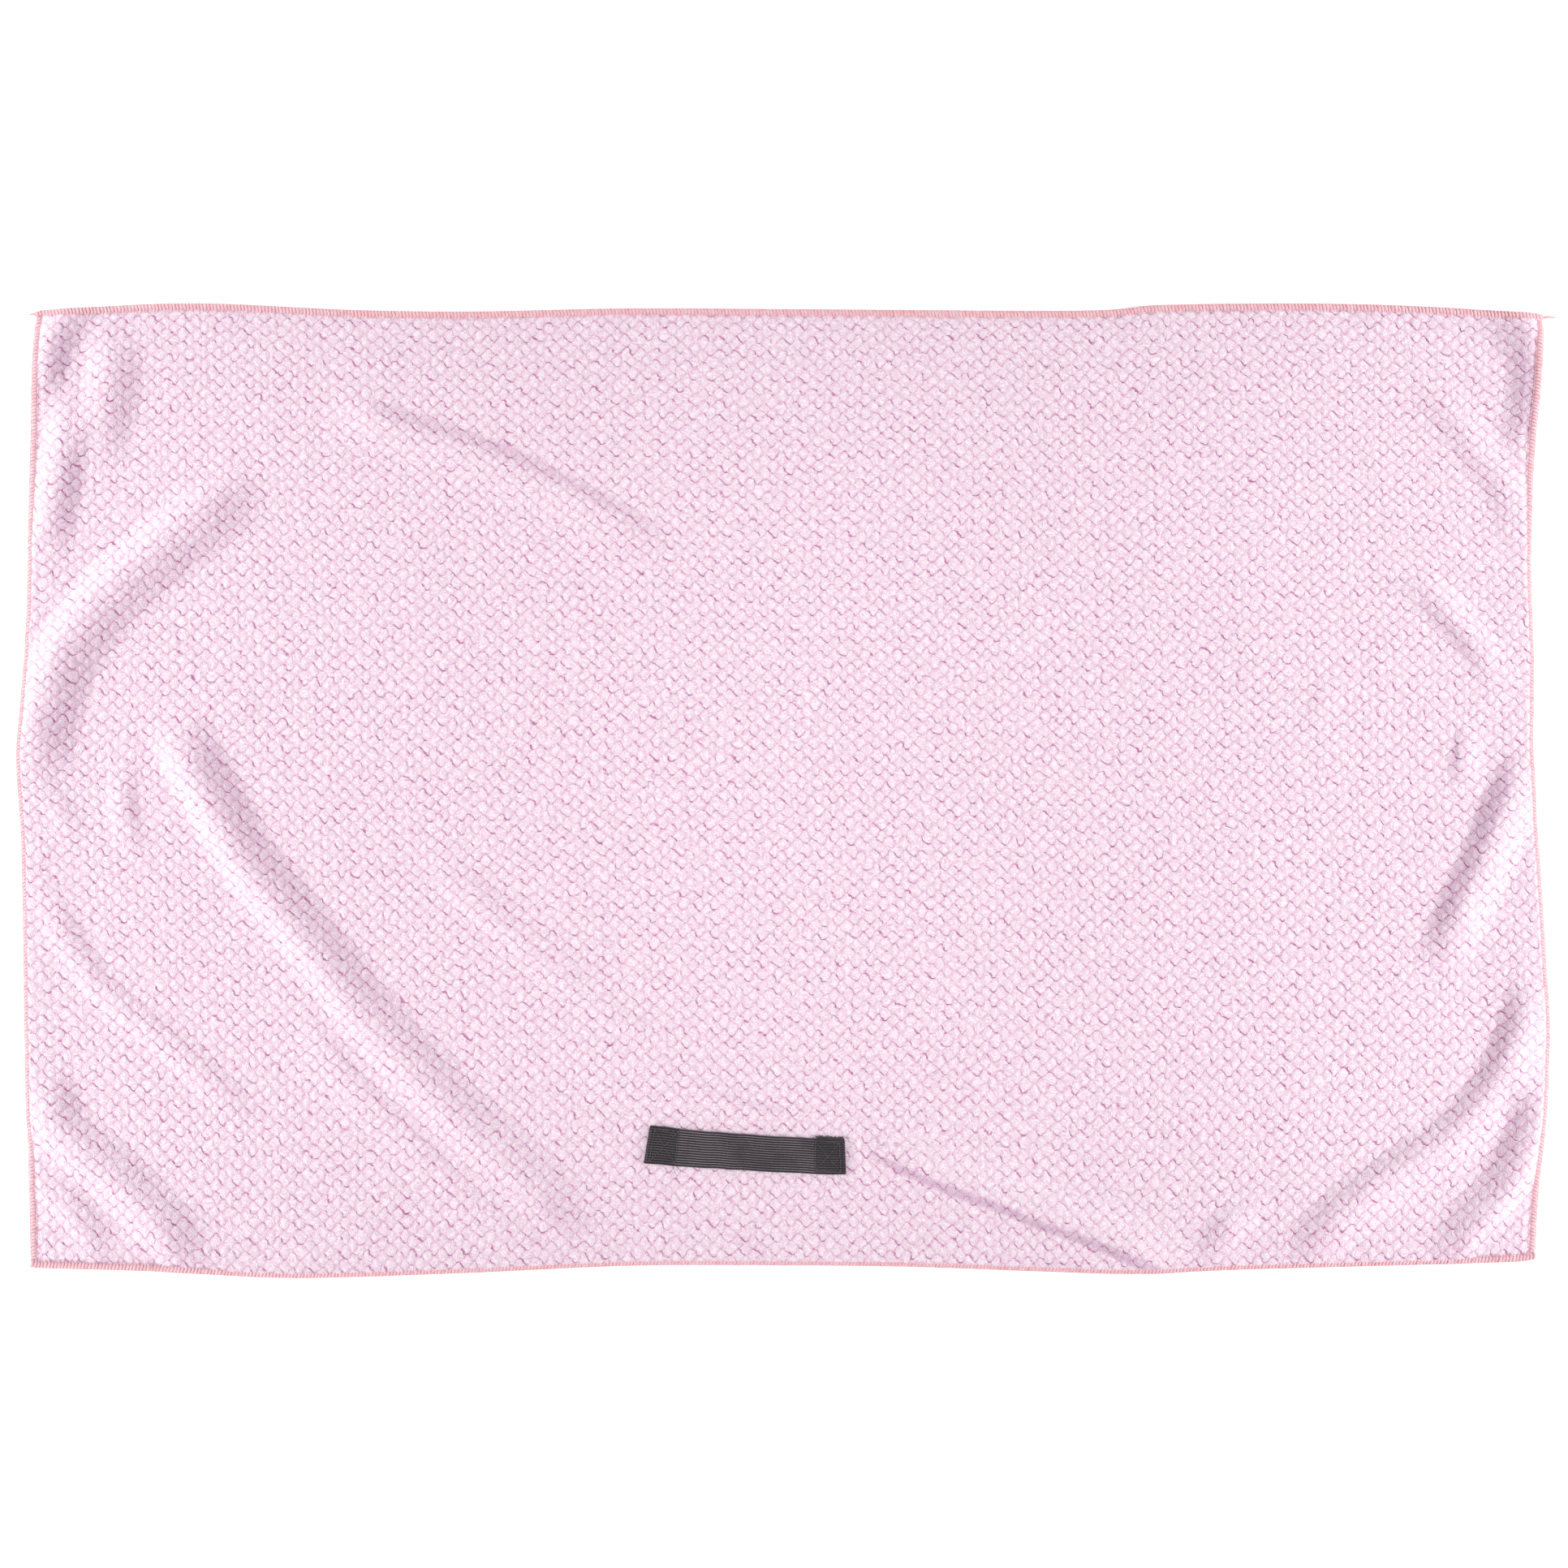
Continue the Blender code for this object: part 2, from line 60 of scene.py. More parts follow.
TOWEL_LENGTH = 1.100
TOWEL_WIDTH = 0.700
CLOTH_THICKNESS = 0.0044
SEAM_WIDTH = 0.0056
SEAM_HEIGHT = 0.0036

STRAP_LENGTH = 0.1450
STRAP_WIDTH = 0.0270
ELASTIC_THICKNESS = 0.0015
STRAP_FROM_NEAR_EDGE = 0.0880
STRAP_OFF_CENTRE = -0.0270
STRAP_TILT = math.radians(-3.6)
STRAP_FLARE = 0.040  # share by which its near edge is longer than its far edge
HEM_LENGTH = 0.0235
HEM_PLY_GAP = 0.0003
CLEARANCE = 0.0003
BOBBIN_ROOM = 0.0009
STITCH_BOX_MARGIN = 0.0022
STITCH_BOX_FROM_END = 0.0040
STITCH_BOX_FROM_BAND = 0.0015

# Each edge wanders: (place along the edge, from -1 to 1; how far the edge stands outwards there).
FAR_EDGE = [
    (-1.00, -0.0010), (-0.79, 0.0046), (-0.57, -0.0002), (-0.41, -0.0013), (-0.20, 0.0010), (0.02, 0.0004),
    (0.39, -0.0007), (0.50, 0.0034), (0.68, 0.0046), (0.84, 0.0026), (1.00, -0.0030),
]
NEAR_EDGE = [
    (-1.00, -0.0025), (-0.84, 0.0000), (-0.68, 0.0046), (-0.57, 0.0042), (-0.41, 0.0010), (-0.20, -0.0040),
    (0.02, -0.0042), (0.18, -0.0030), (0.34, 0.0002), (0.47, 0.0020), (0.61, -0.0012), (0.93, -0.0060),
    (1.00, -0.0080),
]
LEFT_EDGE = [
    (-1.00, -0.0020), (-0.77, -0.0003), (-0.50, 0.0026), (-0.29, 0.0035), (-0.09, 0.0052), (0.05, 0.0080),
    (0.18, 0.0048), (0.38, 0.0010), (0.65, -0.0010), (0.86, -0.0034), (1.00, -0.0060),
]
RIGHT_EDGE = [
    (-1.00, -0.0030), (-0.83, 0.0004), (-0.56, 0.0080), (-0.43, 0.0070), (-0.22, 0.0028), (0.05, -0.0034),
    (0.25, -0.0030), (0.47, -0.0052), (0.72, -0.0026), (0.86, 0.0014), (1.00, 0.0030),
]

# A rumple is a rounded ridge. Its crest runs through shares of the towel's half length and half width, and it
# reaches its own distance to the left and to the right of the way its crest runs.
# The shares were worked out and printed by a program.
Rumple = namedtuple("Rumple", "height left_reach right_reach crest")
RUMPLES = [
    # main
    Rumple(0.0074, 0.032, 0.020, [(-0.83, 0.175), (-0.8, 0.085), (-0.76, -0.03), (-0.72, -0.145),
        (-0.67, -0.245), (-0.615, -0.355), (-0.57, -0.45), (-0.515, -0.545), (-0.465, -0.63),
        (-0.42, -0.705), (-0.37, -0.775), (-0.315, -0.855), (-0.255, -0.94)]),
    # beside main
    Rumple(0.0020, 0.010, 0.024, [(-0.655, -0.45), (-0.595, -0.555), (-0.545, -0.645), (-0.495, -0.72),
        (-0.445, -0.8), (-0.39, -0.875), (-0.335, -0.925), (-0.27, -0.985)]),
    # left shoulder
    Rumple(0.0072, 0.036, 0.022, [(-0.685, 0.635), (-0.76, 0.59), (-0.805, 0.545), (-0.845, 0.49),
        (-0.89, 0.43), (-0.925, 0.365), (-0.955, 0.3), (-0.975, 0.225), (-0.99, 0.14), (-1., 0.05),
        (-1., -0.02)]),
    # left crease
    Rumple(0.0022, 0.014, 0.012, [(-1.005, 0.04), (-0.97, -0.02), (-0.94, -0.08), (-0.93, -0.13)]),
    # upper left inner
    Rumple(0.0046, 0.028, 0.020, [(-0.875, 0.995), (-0.89, 0.92), (-0.895, 0.845), (-0.905, 0.77),
        (-0.92, 0.7), (-0.935, 0.65)]),
    # upper left outer
    Rumple(0.0048, 0.022, 0.018, [(-0.935, 0.885), (-0.945, 0.785), (-0.955, 0.71), (-0.965, 0.615),
        (-0.975, 0.525), (-0.98, 0.445)]),
    # upper left corner
    Rumple(0.0056, 0.022, 0.016, [(-0.89, 1.01), (-0.94, 0.99), (-0.97, 0.935), (-0.985, 0.85),
        (-0.99, 0.75)]),
    # top
    Rumple(0.0058, 0.016, 0.026, [(-0.61, 0.81), (-0.555, 0.78), (-0.48, 0.74), (-0.395, 0.695),
        (-0.29, 0.62), (-0.21, 0.55), (-0.135, 0.48)]),
    # left press
    Rumple(0.0012, 0.012, 0.012, [(-0.92, 0.19), (-0.825, 0.195), (-0.725, 0.185), (-0.61, 0.185),
        (-0.48, 0.175)]),
    # left small
    Rumple(0.0024, 0.014, 0.014, [(-0.87, 0.1), (-0.875, 0.03), (-0.875, -0.025), (-0.865, -0.105),
        (-0.85, -0.17)]),
    # lower left corner
    Rumple(0.0064, 0.028, 0.022, [(-0.99, -0.535), (-0.985, -0.61), (-0.965, -0.69), (-0.935, -0.745),
        (-0.89, -0.805), (-0.845, -0.875), (-0.805, -0.94), (-0.765, -1.01)]),
    # lower left tip
    Rumple(0.0040, 0.020, 0.014, [(-1., -0.775), (-0.975, -0.83), (-0.94, -0.885), (-0.91, -0.945),
        (-0.895, -1.01)]),
    # left faint
    Rumple(0.0024, 0.016, 0.016, [(-0.99, -0.175), (-0.96, -0.275), (-0.925, -0.37), (-0.885, -0.44),
        (-0.82, -0.52), (-0.75, -0.62), (-0.69, -0.715)]),
    # long
    Rumple(0.0026, 0.022, 0.013, [(-0.475, -0.135), (-0.41, -0.235), (-0.345, -0.32), (-0.275, -0.405),
        (-0.205, -0.485), (-0.125, -0.575), (-0.025, -0.645), (0.07, -0.705)]),
    # near sweep
    Rumple(0.0058, 0.030, 0.009, [(0.085, -0.72), (0.145, -0.765), (0.21, -0.81), (0.28, -0.85),
        (0.35, -0.895), (0.415, -0.93), (0.48, -0.975), (0.545, -1.01)]),
    # below the strap
    Rumple(0.0026, 0.014, 0.014, [(-0.125, -0.825), (-0.07, -0.89), (-0.02, -0.955), (0.02, -1.02)]),
    # lower right blob
    Rumple(0.0056, 0.018, 0.014, [(0.65, -0.855), (0.61, -0.885), (0.575, -0.925), (0.55, -0.995)]),
    # lower right
    Rumple(0.0062, 0.026, 0.020, [(1., -0.35), (0.985, -0.445), (0.965, -0.54), (0.935, -0.63),
        (0.89, -0.71), (0.835, -0.77), (0.77, -0.84), (0.715, -0.91), (0.665, -0.99)]),
    # lower right corner
    Rumple(0.0068, 0.026, 0.016, [(0.875, -1.01), (0.905, -0.925), (0.945, -0.86), (0.975, -0.785),
        (0.995, -0.7), (1., -0.6), (1.005, -0.535)]),
    # right
    Rumple(0.0064, 0.026, 0.021, [(1., 0.115), (0.975, 0.025), (0.95, -0.06), (0.93, -0.14),
        (0.905, -0.225), (0.88, -0.31), (0.855, -0.395)]),
    # right small
    Rumple(0.0044, 0.014, 0.012, [(0.92, 0.16), (0.905, 0.1), (0.9, 0.04), (0.895, -0.02)]),
    # right upper
    Rumple(0.0030, 0.018, 0.016, [(0.795, 0.455), (0.84, 0.425), (0.875, 0.38), (0.91, 0.32),
        (0.94, 0.25), (0.955, 0.185)]),
    # upper right inner
    Rumple(0.0020, 0.020, 0.018, [(0.825, 0.86), (0.86, 0.82), (0.895, 0.765), (0.92, 0.705),
        (0.95, 0.645), (0.97, 0.565), (0.985, 0.47)]),
    # upper right corner
    Rumple(0.0064, 0.016, 0.032, [(0.915, 1.01), (0.965, 0.985), (1., 0.93), (1.01, 0.85), (1.005, 0.75),
        (1., 0.65)]),
    # right faint
    Rumple(0.0014, 0.014, 0.014, [(0.755, 0.26), (0.725, 0.21), (0.705, 0.15), (0.685, 0.09)]),
]
RUMPLE_TAPER = 0.055
RUMPLE_CREST_WIDTH = 0.006  # over which the two reaches change over
CREST_STEPS = 8

# ---- Dimensions of the looks ------------------------------------------------------------------------------

GRID_STEP = 0.00125  # between points of the cloth
LUMP_LENGTH = 0.0112  # between lumps of a row, along X
LUMP_WIDTH = 0.0099  # between rows that line up, along Y
LUMP_HEIGHT = 0.0004
SCALLOP_RISE = 0.25  # half the height of a row's scalloped groove, as a share of LUMP_WIDTH
GROOVE_DEPTH = 0.0002
STEEP_SIDE = 0.40  # slope at which the painted shade and light on a ridge's sides are full
SLOPE_SHADING_REACH = 0.20  # from the middle of the towel to each side, over which that painted shade and light come in
CLOTH_INSET = 0.0012  # of the cloth's rim from the outline
UNDERSIDE_SHIFT = 40.0  # of the pattern, so that the two faces differ
KNIT_SKEW = -0.055  # how far the columns of lumps lean over, growing from KNIT_SKEW_FROM below the middle
KNIT_SKEW_FROM = 0.10
KNIT_SKEW_OVER = 0.45
KNIT_SPREAD = 0.03  # by which the rows lie closer towards the far edge
BAKE_SCALE = 0.705  # of the flat map, in which both faces fit
BAKE_MARGIN = (0.01, 0.003)
SWELL_HEIGHT = 0.0007  # slow unevenness of the lying cloth
EDGE_RIPPLE = 0.0008  # the seam's slight waviness
HELD_MARGIN = 0.008  # cloth pressed flat around the strap
HELD_FADE = 0.018

STITCH_PITCH = 0.0025  # overlock stitches along the edge
RIB_POINTS = 14  # round one turn of the overlock's looper thread
RIB_HALF_WIDTH = 0.00114
RIB_HALF_DEPTH = 0.00042
RIB_SIDES = 6
EDGE_POINTS = 4000  # along an edge, from which its seam's points are read
CORNER_GAP = 0.0002  # between a side's seam and the near or far one that runs past it
OVERLOCK_SEEDS = {"near": 21, "far": 22, "left": 23, "right": 24}
EDGE_PINCH = 0.010  # the pile is pinched thin over this distance from the outline
SHORT_PINCH = 0.003  # where the pile covers most of the seam
# Places along the near edge and along the two sides between which the pinch goes from long to short and back.
NEAR_SEAM_COVERED = (-0.450, -0.400, 0.490, 0.530)
SIDE_SEAMS_COVERED = (-0.300, -0.250, 0.180, 0.230)
EDGE_THICKNESS = 0.0018  # of the cloth inside the seam

RIBS = 15  # along the elastic
RIB_RELIEF = 0.00035
SEWING_THREAD = 0.00058
SEWING_STITCH = 0.0024
RETURN_ROW = 0.0022  # between the left seam's doubled rows
STRAP_BOW = 0.0012
STRAP_WIDTH_SHARES = [1.03, 0.98, 0.95]  # at its left end, near its middle and at its right end
TAIL_LENGTHS = {"right": 0.011, "left": 0.005}
TAIL_STRANDS = 3

FIBRE_WIDTH = 0.00011
FIBRES_PER_METRE = 9000
FRINGE_SEEDS = {"near": 31, "far": 32, "left": 33, "right": 34}
FRINGE_SHARES = {"near": 1.0, "far": 0.45, "left": 1.0, "right": 0.55}  # of the fibres

VIEW_WIDTH = 1.1437  # seen by the camera where the towel lies
CAMERA_HEIGHT = 2.6
CAMERA_PLACE = (0.0006, 0.0047)

SOFT_BOX = (0.25, 1.2)
SIDE_BOX_AWAY = 1.5
SIDE_BOX_HEIGHT = 0.8
SIDE_BOX_AIM = 0.5
SIDE_POWER = 1.76  # watts
SIDE_SPREAD = math.radians(36)
UPPER_BOX_HEIGHT = 1.8
UPPER_POWER = 0.72
UPPER_SPREAD = math.radians(36)
ROOM_LIGHT = 0.50
ROOM_TINT = (1.0, 0.88, 0.96, 1.0)
FLOOR_HALF = 6.0
FLOOR_DROP = 0.0004  # of the floor below the towel
FLOOR_GLOW = 0.40

HALF_LENGTH = TOWEL_LENGTH / 2
HALF_WIDTH = TOWEL_WIDTH / 2
STRAP_CENTRE = np.array([STRAP_OFF_CENTRE, STRAP_FROM_NEAR_EDGE - HALF_WIDTH])
LOWER_PLY_Z = BOBBIN_ROOM + CLOTH_THICKNESS + CLEARANCE
UPPER_PLY_Z = LOWER_PLY_Z + ELASTIC_THICKNESS + HEM_PLY_GAP
STRAP_TOP_Z = UPPER_PLY_Z + ELASTIC_THICKNESS


# ---- Numbers ----------------------------------------------------------------------------------------------


def smooth_step(t):
    t = np.clip(t, 0.0, 1.0)
    return t * t * (3 - 2 * t)


def smooth_line(points, steps):
    """Points along a smooth curve (Catmull-Rom) through the given points."""
    p = np.array(points, float)
    p = np.vstack([2 * p[0] - p[1], p, 2 * p[-1] - p[-2]])
    t = np.arange(steps)[:, None] / steps
    runs = [
        0.5 * (2 * b + (c - a) * t + (2 * a - 5 * b + 4 * c - d) * t**2 + (3 * b - a - 3 * c + d) * t**3)
        for a, b, c, d in zip(p, p[1:], p[2:], p[3:])
    ]
    return np.vstack([*runs, p[-2]])


def unevenness(x, y, size, seed):
    """A smooth random field between -1 and 1 with features of the given size."""
    table = np.random.default_rng(seed).uniform(-1, 1, (256, 256))
    gx, gy = np.asarray(x) / size, np.asarray(y) / size
    ix, iy = np.floor(gx).astype(int), np.floor(gy).astype(int)
    fx, fy = smooth_step(gx - ix), smooth_step(gy - iy)
    corner = [table[(ix + dx) % 256, (iy + dy) % 256] for dx in (0, 1) for dy in (0, 1)]
    return (corner[0] * (1 - fy) + corner[1] * fy) * (1 - fx) + (corner[2] * (1 - fy) + corner[3] * fy) * fx


# ---- Shape of the lying cloth -----------------------------------------------------------------------------


def edge_offset(edge, share):
    line = smooth_line(edge, CREST_STEPS)
    return np.interp(share, line[:, 0], line[:, 1])


def outline_place(s, t, inset):
    """Where a point at shares s and t of the length and width lies, inside an inset from the outline."""
    x, y = (2 * s - 1) * HALF_LENGTH, (2 * t - 1) * HALF_WIDTH
    for _ in range(2):
        near = -HALF_WIDTH - edge_offset(NEAR_EDGE, x / HALF_LENGTH) + inset
        far = HALF_WIDTH + edge_offset(FAR_EDGE, x / HALF_LENGTH) - inset
        y = near * (1 - t) + far * t
        left = -HALF_LENGTH - edge_offset(LEFT_EDGE, y / HALF_WIDTH) + inset
        right = HALF_LENGTH + edge_offset(RIGHT_EDGE, y / HALF_WIDTH) - inset
        x = left * (1 - s) + right * s
    return x, y


def rumple_rise(rumple, x, y):
    """The rise of one rumple at many places."""
    line = smooth_line(np.array(rumple.crest) * (HALF_LENGTH, HALF_WIDTH), CREST_STEPS)
    reach = max(rumple.left_reach, rumple.right_reach)
    low, high = line.min(axis=0) - reach, line.max(axis=0) + reach
    rise = np.zeros_like(x)
    inside = (x > low[0]) & (x < high[0]) & (y > low[1]) & (y < high[1])
    if not inside.any():
        return rise
    px, py = x[inside], y[inside]
    lengths = np.linalg.norm(np.diff(line, axis=0), axis=1)
    best = np.full_like(px, np.inf)
    travelled = np.zeros_like(px)
    leftward = np.zeros_like(px)
    before = 0.0
    for start, end, length in zip(line, line[1:], lengths):
        run = end - start
        dx, dy = px - start[0], py - start[1]
        along = np.clip((dx * run[0] + dy * run[1]) / length**2, 0, 1)
        distance = np.hypot(run[0] * along - dx, run[1] * along - dy)
        nearer = distance < best
        best[nearer] = distance[nearer]
        travelled[nearer] = (before + along * length)[nearer]
        leftward[nearer] = ((run[0] * dy - run[1] * dx) / length)[nearer]
        before += length
    side = smooth_step(leftward / RUMPLE_CREST_WIDTH + 0.5)
    reach = rumple.right_reach * (1 - side) + rumple.left_reach * side
    taper = smooth_step(np.minimum(travelled, before - travelled) / RUMPLE_TAPER)
    rise[inside] = rumple.height * taper * np.clip(1 - (best / reach) ** 2, 0, 1) ** 2
    return rise


def strap_frame(x, y):
    """A place along and across the strap, from its centre."""
    dx, dy = x - STRAP_CENTRE[0], y - STRAP_CENTRE[1]
    cos, sin = math.cos(STRAP_TILT), math.sin(STRAP_TILT)
    return dx * cos + dy * sin, -dx * sin + dy * cos


def strap_hold(x, y):
    """1 under the strap, where its stitches hold the cloth flat, falling to 0 away from it."""
    along, across = strap_frame(x, y)
    outside_x = np.maximum(0, np.abs(along) - STRAP_LENGTH / 2 - HELD_MARGIN)
    outside_y = np.maximum(0, np.abs(across) - STRAP_WIDTH / 2 - HELD_MARGIN)
    return 1 - smooth_step(np.hypot(outside_x, outside_y) / HELD_FADE)


def lie(x, y):
    """Height of the cloth's underside above the surface, at many places."""
    x, y = np.asarray(x, float), np.asarray(y, float)
    rise = sum(rumple_rise(rumple, x, y) for rumple in RUMPLES)
    swell = SWELL_HEIGHT * (0.6 + 0.5 * unevenness(x, y, 0.090, 3) + 0.3 * unevenness(x, y, 0.034, 4))
    from_edge = np.minimum(HALF_LENGTH - np.abs(x), HALF_WIDTH - np.abs(y))
    ripple = EDGE_RIPPLE * (1 - smooth_step(from_edge / 0.05)) * (0.5 + 0.5 * unevenness(x, y, 0.017, 5))
    hold = strap_hold(x, y)
    return (rise + np.maximum(swell, 0) + ripple) * (1 - hold) + BOBBIN_ROOM * hold


# ---- Mesh helpers -----------------------------------------------------------------------------------------


def quad_object(name, verts, quads, finish):
    """A smooth-shaded object from arrays of points and four-cornered faces."""
    mesh = bpy.data.meshes.new(name)
    mesh.vertices.add(len(verts))
    mesh.vertices.foreach_set("co", np.asarray(verts, np.float32).ravel())
    mesh.loops.add(4 * len(quads))
    mesh.loops.foreach_set("vertex_index", np.asarray(quads, np.int32).ravel())
    mesh.polygons.add(len(quads))
    mesh.polygons.foreach_set("loop_start", np.arange(0, 4 * len(quads), 4, dtype=np.int32))
    mesh.update(calc_edges=True)
    mesh.shade_smooth()
    mesh.materials.append(finish)
    made = bpy.data.objects.new(name, mesh)
    bpy.context.scene.collection.objects.link(made)
    return made


def grid_quads(rows, columns):
    """Faces between neighbouring points of a grid with that many rows and columns of points."""
    index = np.arange(rows * columns).reshape(rows, columns)
    return np.stack([index[:-1, :-1], index[:-1, 1:], index[1:, 1:], index[1:, :-1]], axis=-1).reshape(-1, 4)


def tubes(paths, sideways, half_width, half_depth, sides=6):
    """Closed tubes along many paths at once.

    paths is (tubes, points, 3). sideways is the direction of each tube's width, and half_width and half_depth
    are its two half thicknesses; each may differ from point to point.
    """
    paths = np.asarray(paths, float)
    count, length = paths.shape[:2]
    tangent = np.gradient(paths, axis=1)
    tangent /= np.linalg.norm(tangent, axis=2, keepdims=True)
    side = np.broadcast_to(sideways, paths.shape)
    side = side - tangent * (side * tangent).sum(axis=2, keepdims=True)
    side /= np.linalg.norm(side, axis=2, keepdims=True)
    up = np.cross(tangent, side)
    angle = math.tau * np.arange(sides) / sides
    wide = np.broadcast_to(half_width, paths.shape[:2])[..., None, None] * np.cos(angle)[:, None]
    deep = np.broadcast_to(half_depth, paths.shape[:2])[..., None, None] * np.sin(angle)[:, None]
    verts = paths[:, :, None] + side[:, :, None] * wide + up[:, :, None] * deep
    ring = np.arange(length * sides).reshape(length, sides)
    after = np.roll(ring, -1, axis=1)
    walls = np.stack([ring[:-1], after[:-1], after[1:], ring[1:]], axis=-1).reshape(-1, 4)
    strips = [(i, i + 1, sides - 2 - i, sides - 1 - i) for i in range(sides // 2 - 1)]
    start_cap = ring[0][np.array(strips)][:, ::-1]
    end_cap = ring[-1][np.array(strips)]
    one = np.vstack([walls, start_cap, end_cap])
    quads = one[None] + (np.arange(count) * length * sides)[:, None, None]
    return verts.reshape(-1, 3), quads.reshape(-1, 4)


def join(parts):
    """Several (points, faces) as one."""
    verts, quads, start = [], [], 0
    for points, faces in parts:
        verts.append(points)
        quads.append(faces + start)
        start += len(points)
    return np.vstack(verts), np.vstack(quads)


def point_value(piece, name, values):
    attribute = piece.data.attributes.new(name, "FLOAT", "POINT")
    attribute.data.foreach_set("value", np.asarray(values, np.float32).ravel())


# ---- Materials --------------------------------------------------------------------------------------------


class Finish:
    """A material and short ways to add its nodes."""

    def __init__(self, name):
        self.material = bpy.data.materials.new(name)
        self.material.use_nodes = True
        self.nodes = self.material.node_tree.nodes
        self.links = self.material.node_tree.links
        self.shader = self.nodes["Principled BSDF"]

    def put(self, value, socket):
        if isinstance(value, bpy.types.NodeSocket):
            self.links.new(value, socket)
        else:
            socket.default_value = value

    def math(self, operation, *values):
        node = self.nodes.new("ShaderNodeMath")
        node.operation = operation
        for value, socket in zip(values, node.inputs):
            self.put(value, socket)
        return node.outputs[0]

    def vector(self, operation, *values):
        node = self.nodes.new("ShaderNodeVectorMath")
        node.operation = operation
        for value, socket in zip(values, node.inputs):
            self.put(value, socket)
        return node.outputs["Vector"]

    def attribute(self, name, output):
        node = self.nodes.new("ShaderNodeAttribute")
        node.attribute_name = name
        return node.outputs[output]

    def grain(self, vector, direction, length, width):
        """Coordinates for a noise drawn out along a direction, in which one step is that length and width."""
        node = self.nodes.new("ShaderNodeMapping")
        node.vector_type = "TEXTURE"
        self.put(vector, node.inputs["Vector"])
        node.inputs["Rotation"].default_value = (0, 0, direction)
        node.inputs["Scale"].default_value = (length, width, 1)
        return node.outputs[0]

    def noise(self, vector, scale, detail=2.0, output="Fac"):
        node = self.nodes.new("ShaderNodeTexNoise")
        self.put(vector, node.inputs["Vector"])
        node.inputs["Scale"].default_value = scale
        node.inputs["Detail"].default_value = detail
        return node.outputs[output]

    def mix(self, factor, first, second):
        node = self.nodes.new("ShaderNodeMix")
        node.data_type = "RGBA"
        self.put(factor, node.inputs["Factor"])
        for value, socket in ((first, node.inputs[6]), (second, node.inputs[7])):
            self.put(value if isinstance(value, bpy.types.NodeSocket) else (*value, 1.0), socket)
        return node.outputs[2]

    def span(self, value, low, high, to_low=0.0, to_high=1.0):
        """value between low and high, as a number between to_low and to_high."""
        node = self.nodes.new("ShaderNodeMapRange")
        for socket, number in zip(node.inputs, (value, low, high, to_low, to_high)):
            self.put(number, socket)
        return node.outputs[0]

    def bump(self, height, strength, distance):
        node = self.nodes.new("ShaderNodeBump")
        node.inputs["Strength"].default_value = strength
        node.inputs["Distance"].default_value = distance
        self.put(height, node.inputs["Height"])
        self.links.new(node.outputs[0], self.shader.inputs["Normal"])

    def surface(self, colour, roughness, sheen=0.0, sheen_roughness=0.5, specular=0.3):
        self.put(colour if isinstance(colour, bpy.types.NodeSocket) else (*colour, 1.0),
                 self.shader.inputs["Base Color"])
        self.put(roughness, self.shader.inputs["Roughness"])
        self.shader.inputs["Sheen Weight"].default_value = sheen
        self.shader.inputs["Sheen Roughness"].default_value = sheen_roughness
        self.shader.inputs["Specular IOR Level"].default_value = specular


# Pale and deep pinks of the pile, mixed by its streaks and by a painted shading that lights each lump's middle;
# loose fibres mix them at random.
LUMP_TOP = (0.940, 0.882, 0.916)
LUMP_SIDE = (0.810, 0.550, 0.690)
# Violet of the painted shade on the ridges' shaded sides.
SLOPE_SHADE_PILE = (0.620, 0.400, 0.610)
# Painted shade in the grooves between lumps and in the pile's partings, deepest where a scallop dips.
GROOVE_SHADE = (0.550, 0.200, 0.400)
DEEP_GROOVE_SHADE = (0.320, 0.110, 0.230)
SEAM_THREAD = (0.90, 0.47, 0.50)
SEAM_THREAD_PALE = (0.87, 0.64, 0.67)
# Painted shade of the seam's core, deep between the wound threads; the thread tails darken towards it at their
# tips.
SEAM_DEEP = (0.82, 0.46, 0.50)
ELASTIC_GROOVE = (0.016, 0.015, 0.018)
# Painted sheen on the elastic's ribs, lighter in worn patches.
ELASTIC_RIB_SHEEN = (0.060, 0.056, 0.064)
ELASTIC_RIB_WORN_SHEEN = (0.215, 0.195, 0.210)
HEM_SHADE = 0.45  # of the ribs' painted sheen that is left where the box seam is sewn
HEM_SHADE_FADE = 0.002
WEAVE_PITCH = 0.0009
SEWING_BLACK = (0.036, 0.033, 0.038)
SEWING_GREY = (0.165, 0.155, 0.165)
FLOOR_COLOUR = (0.93, 0.93, 0.93)
PILE_LEAN = math.radians(-52)  # the pile lies down towards the right and near edges


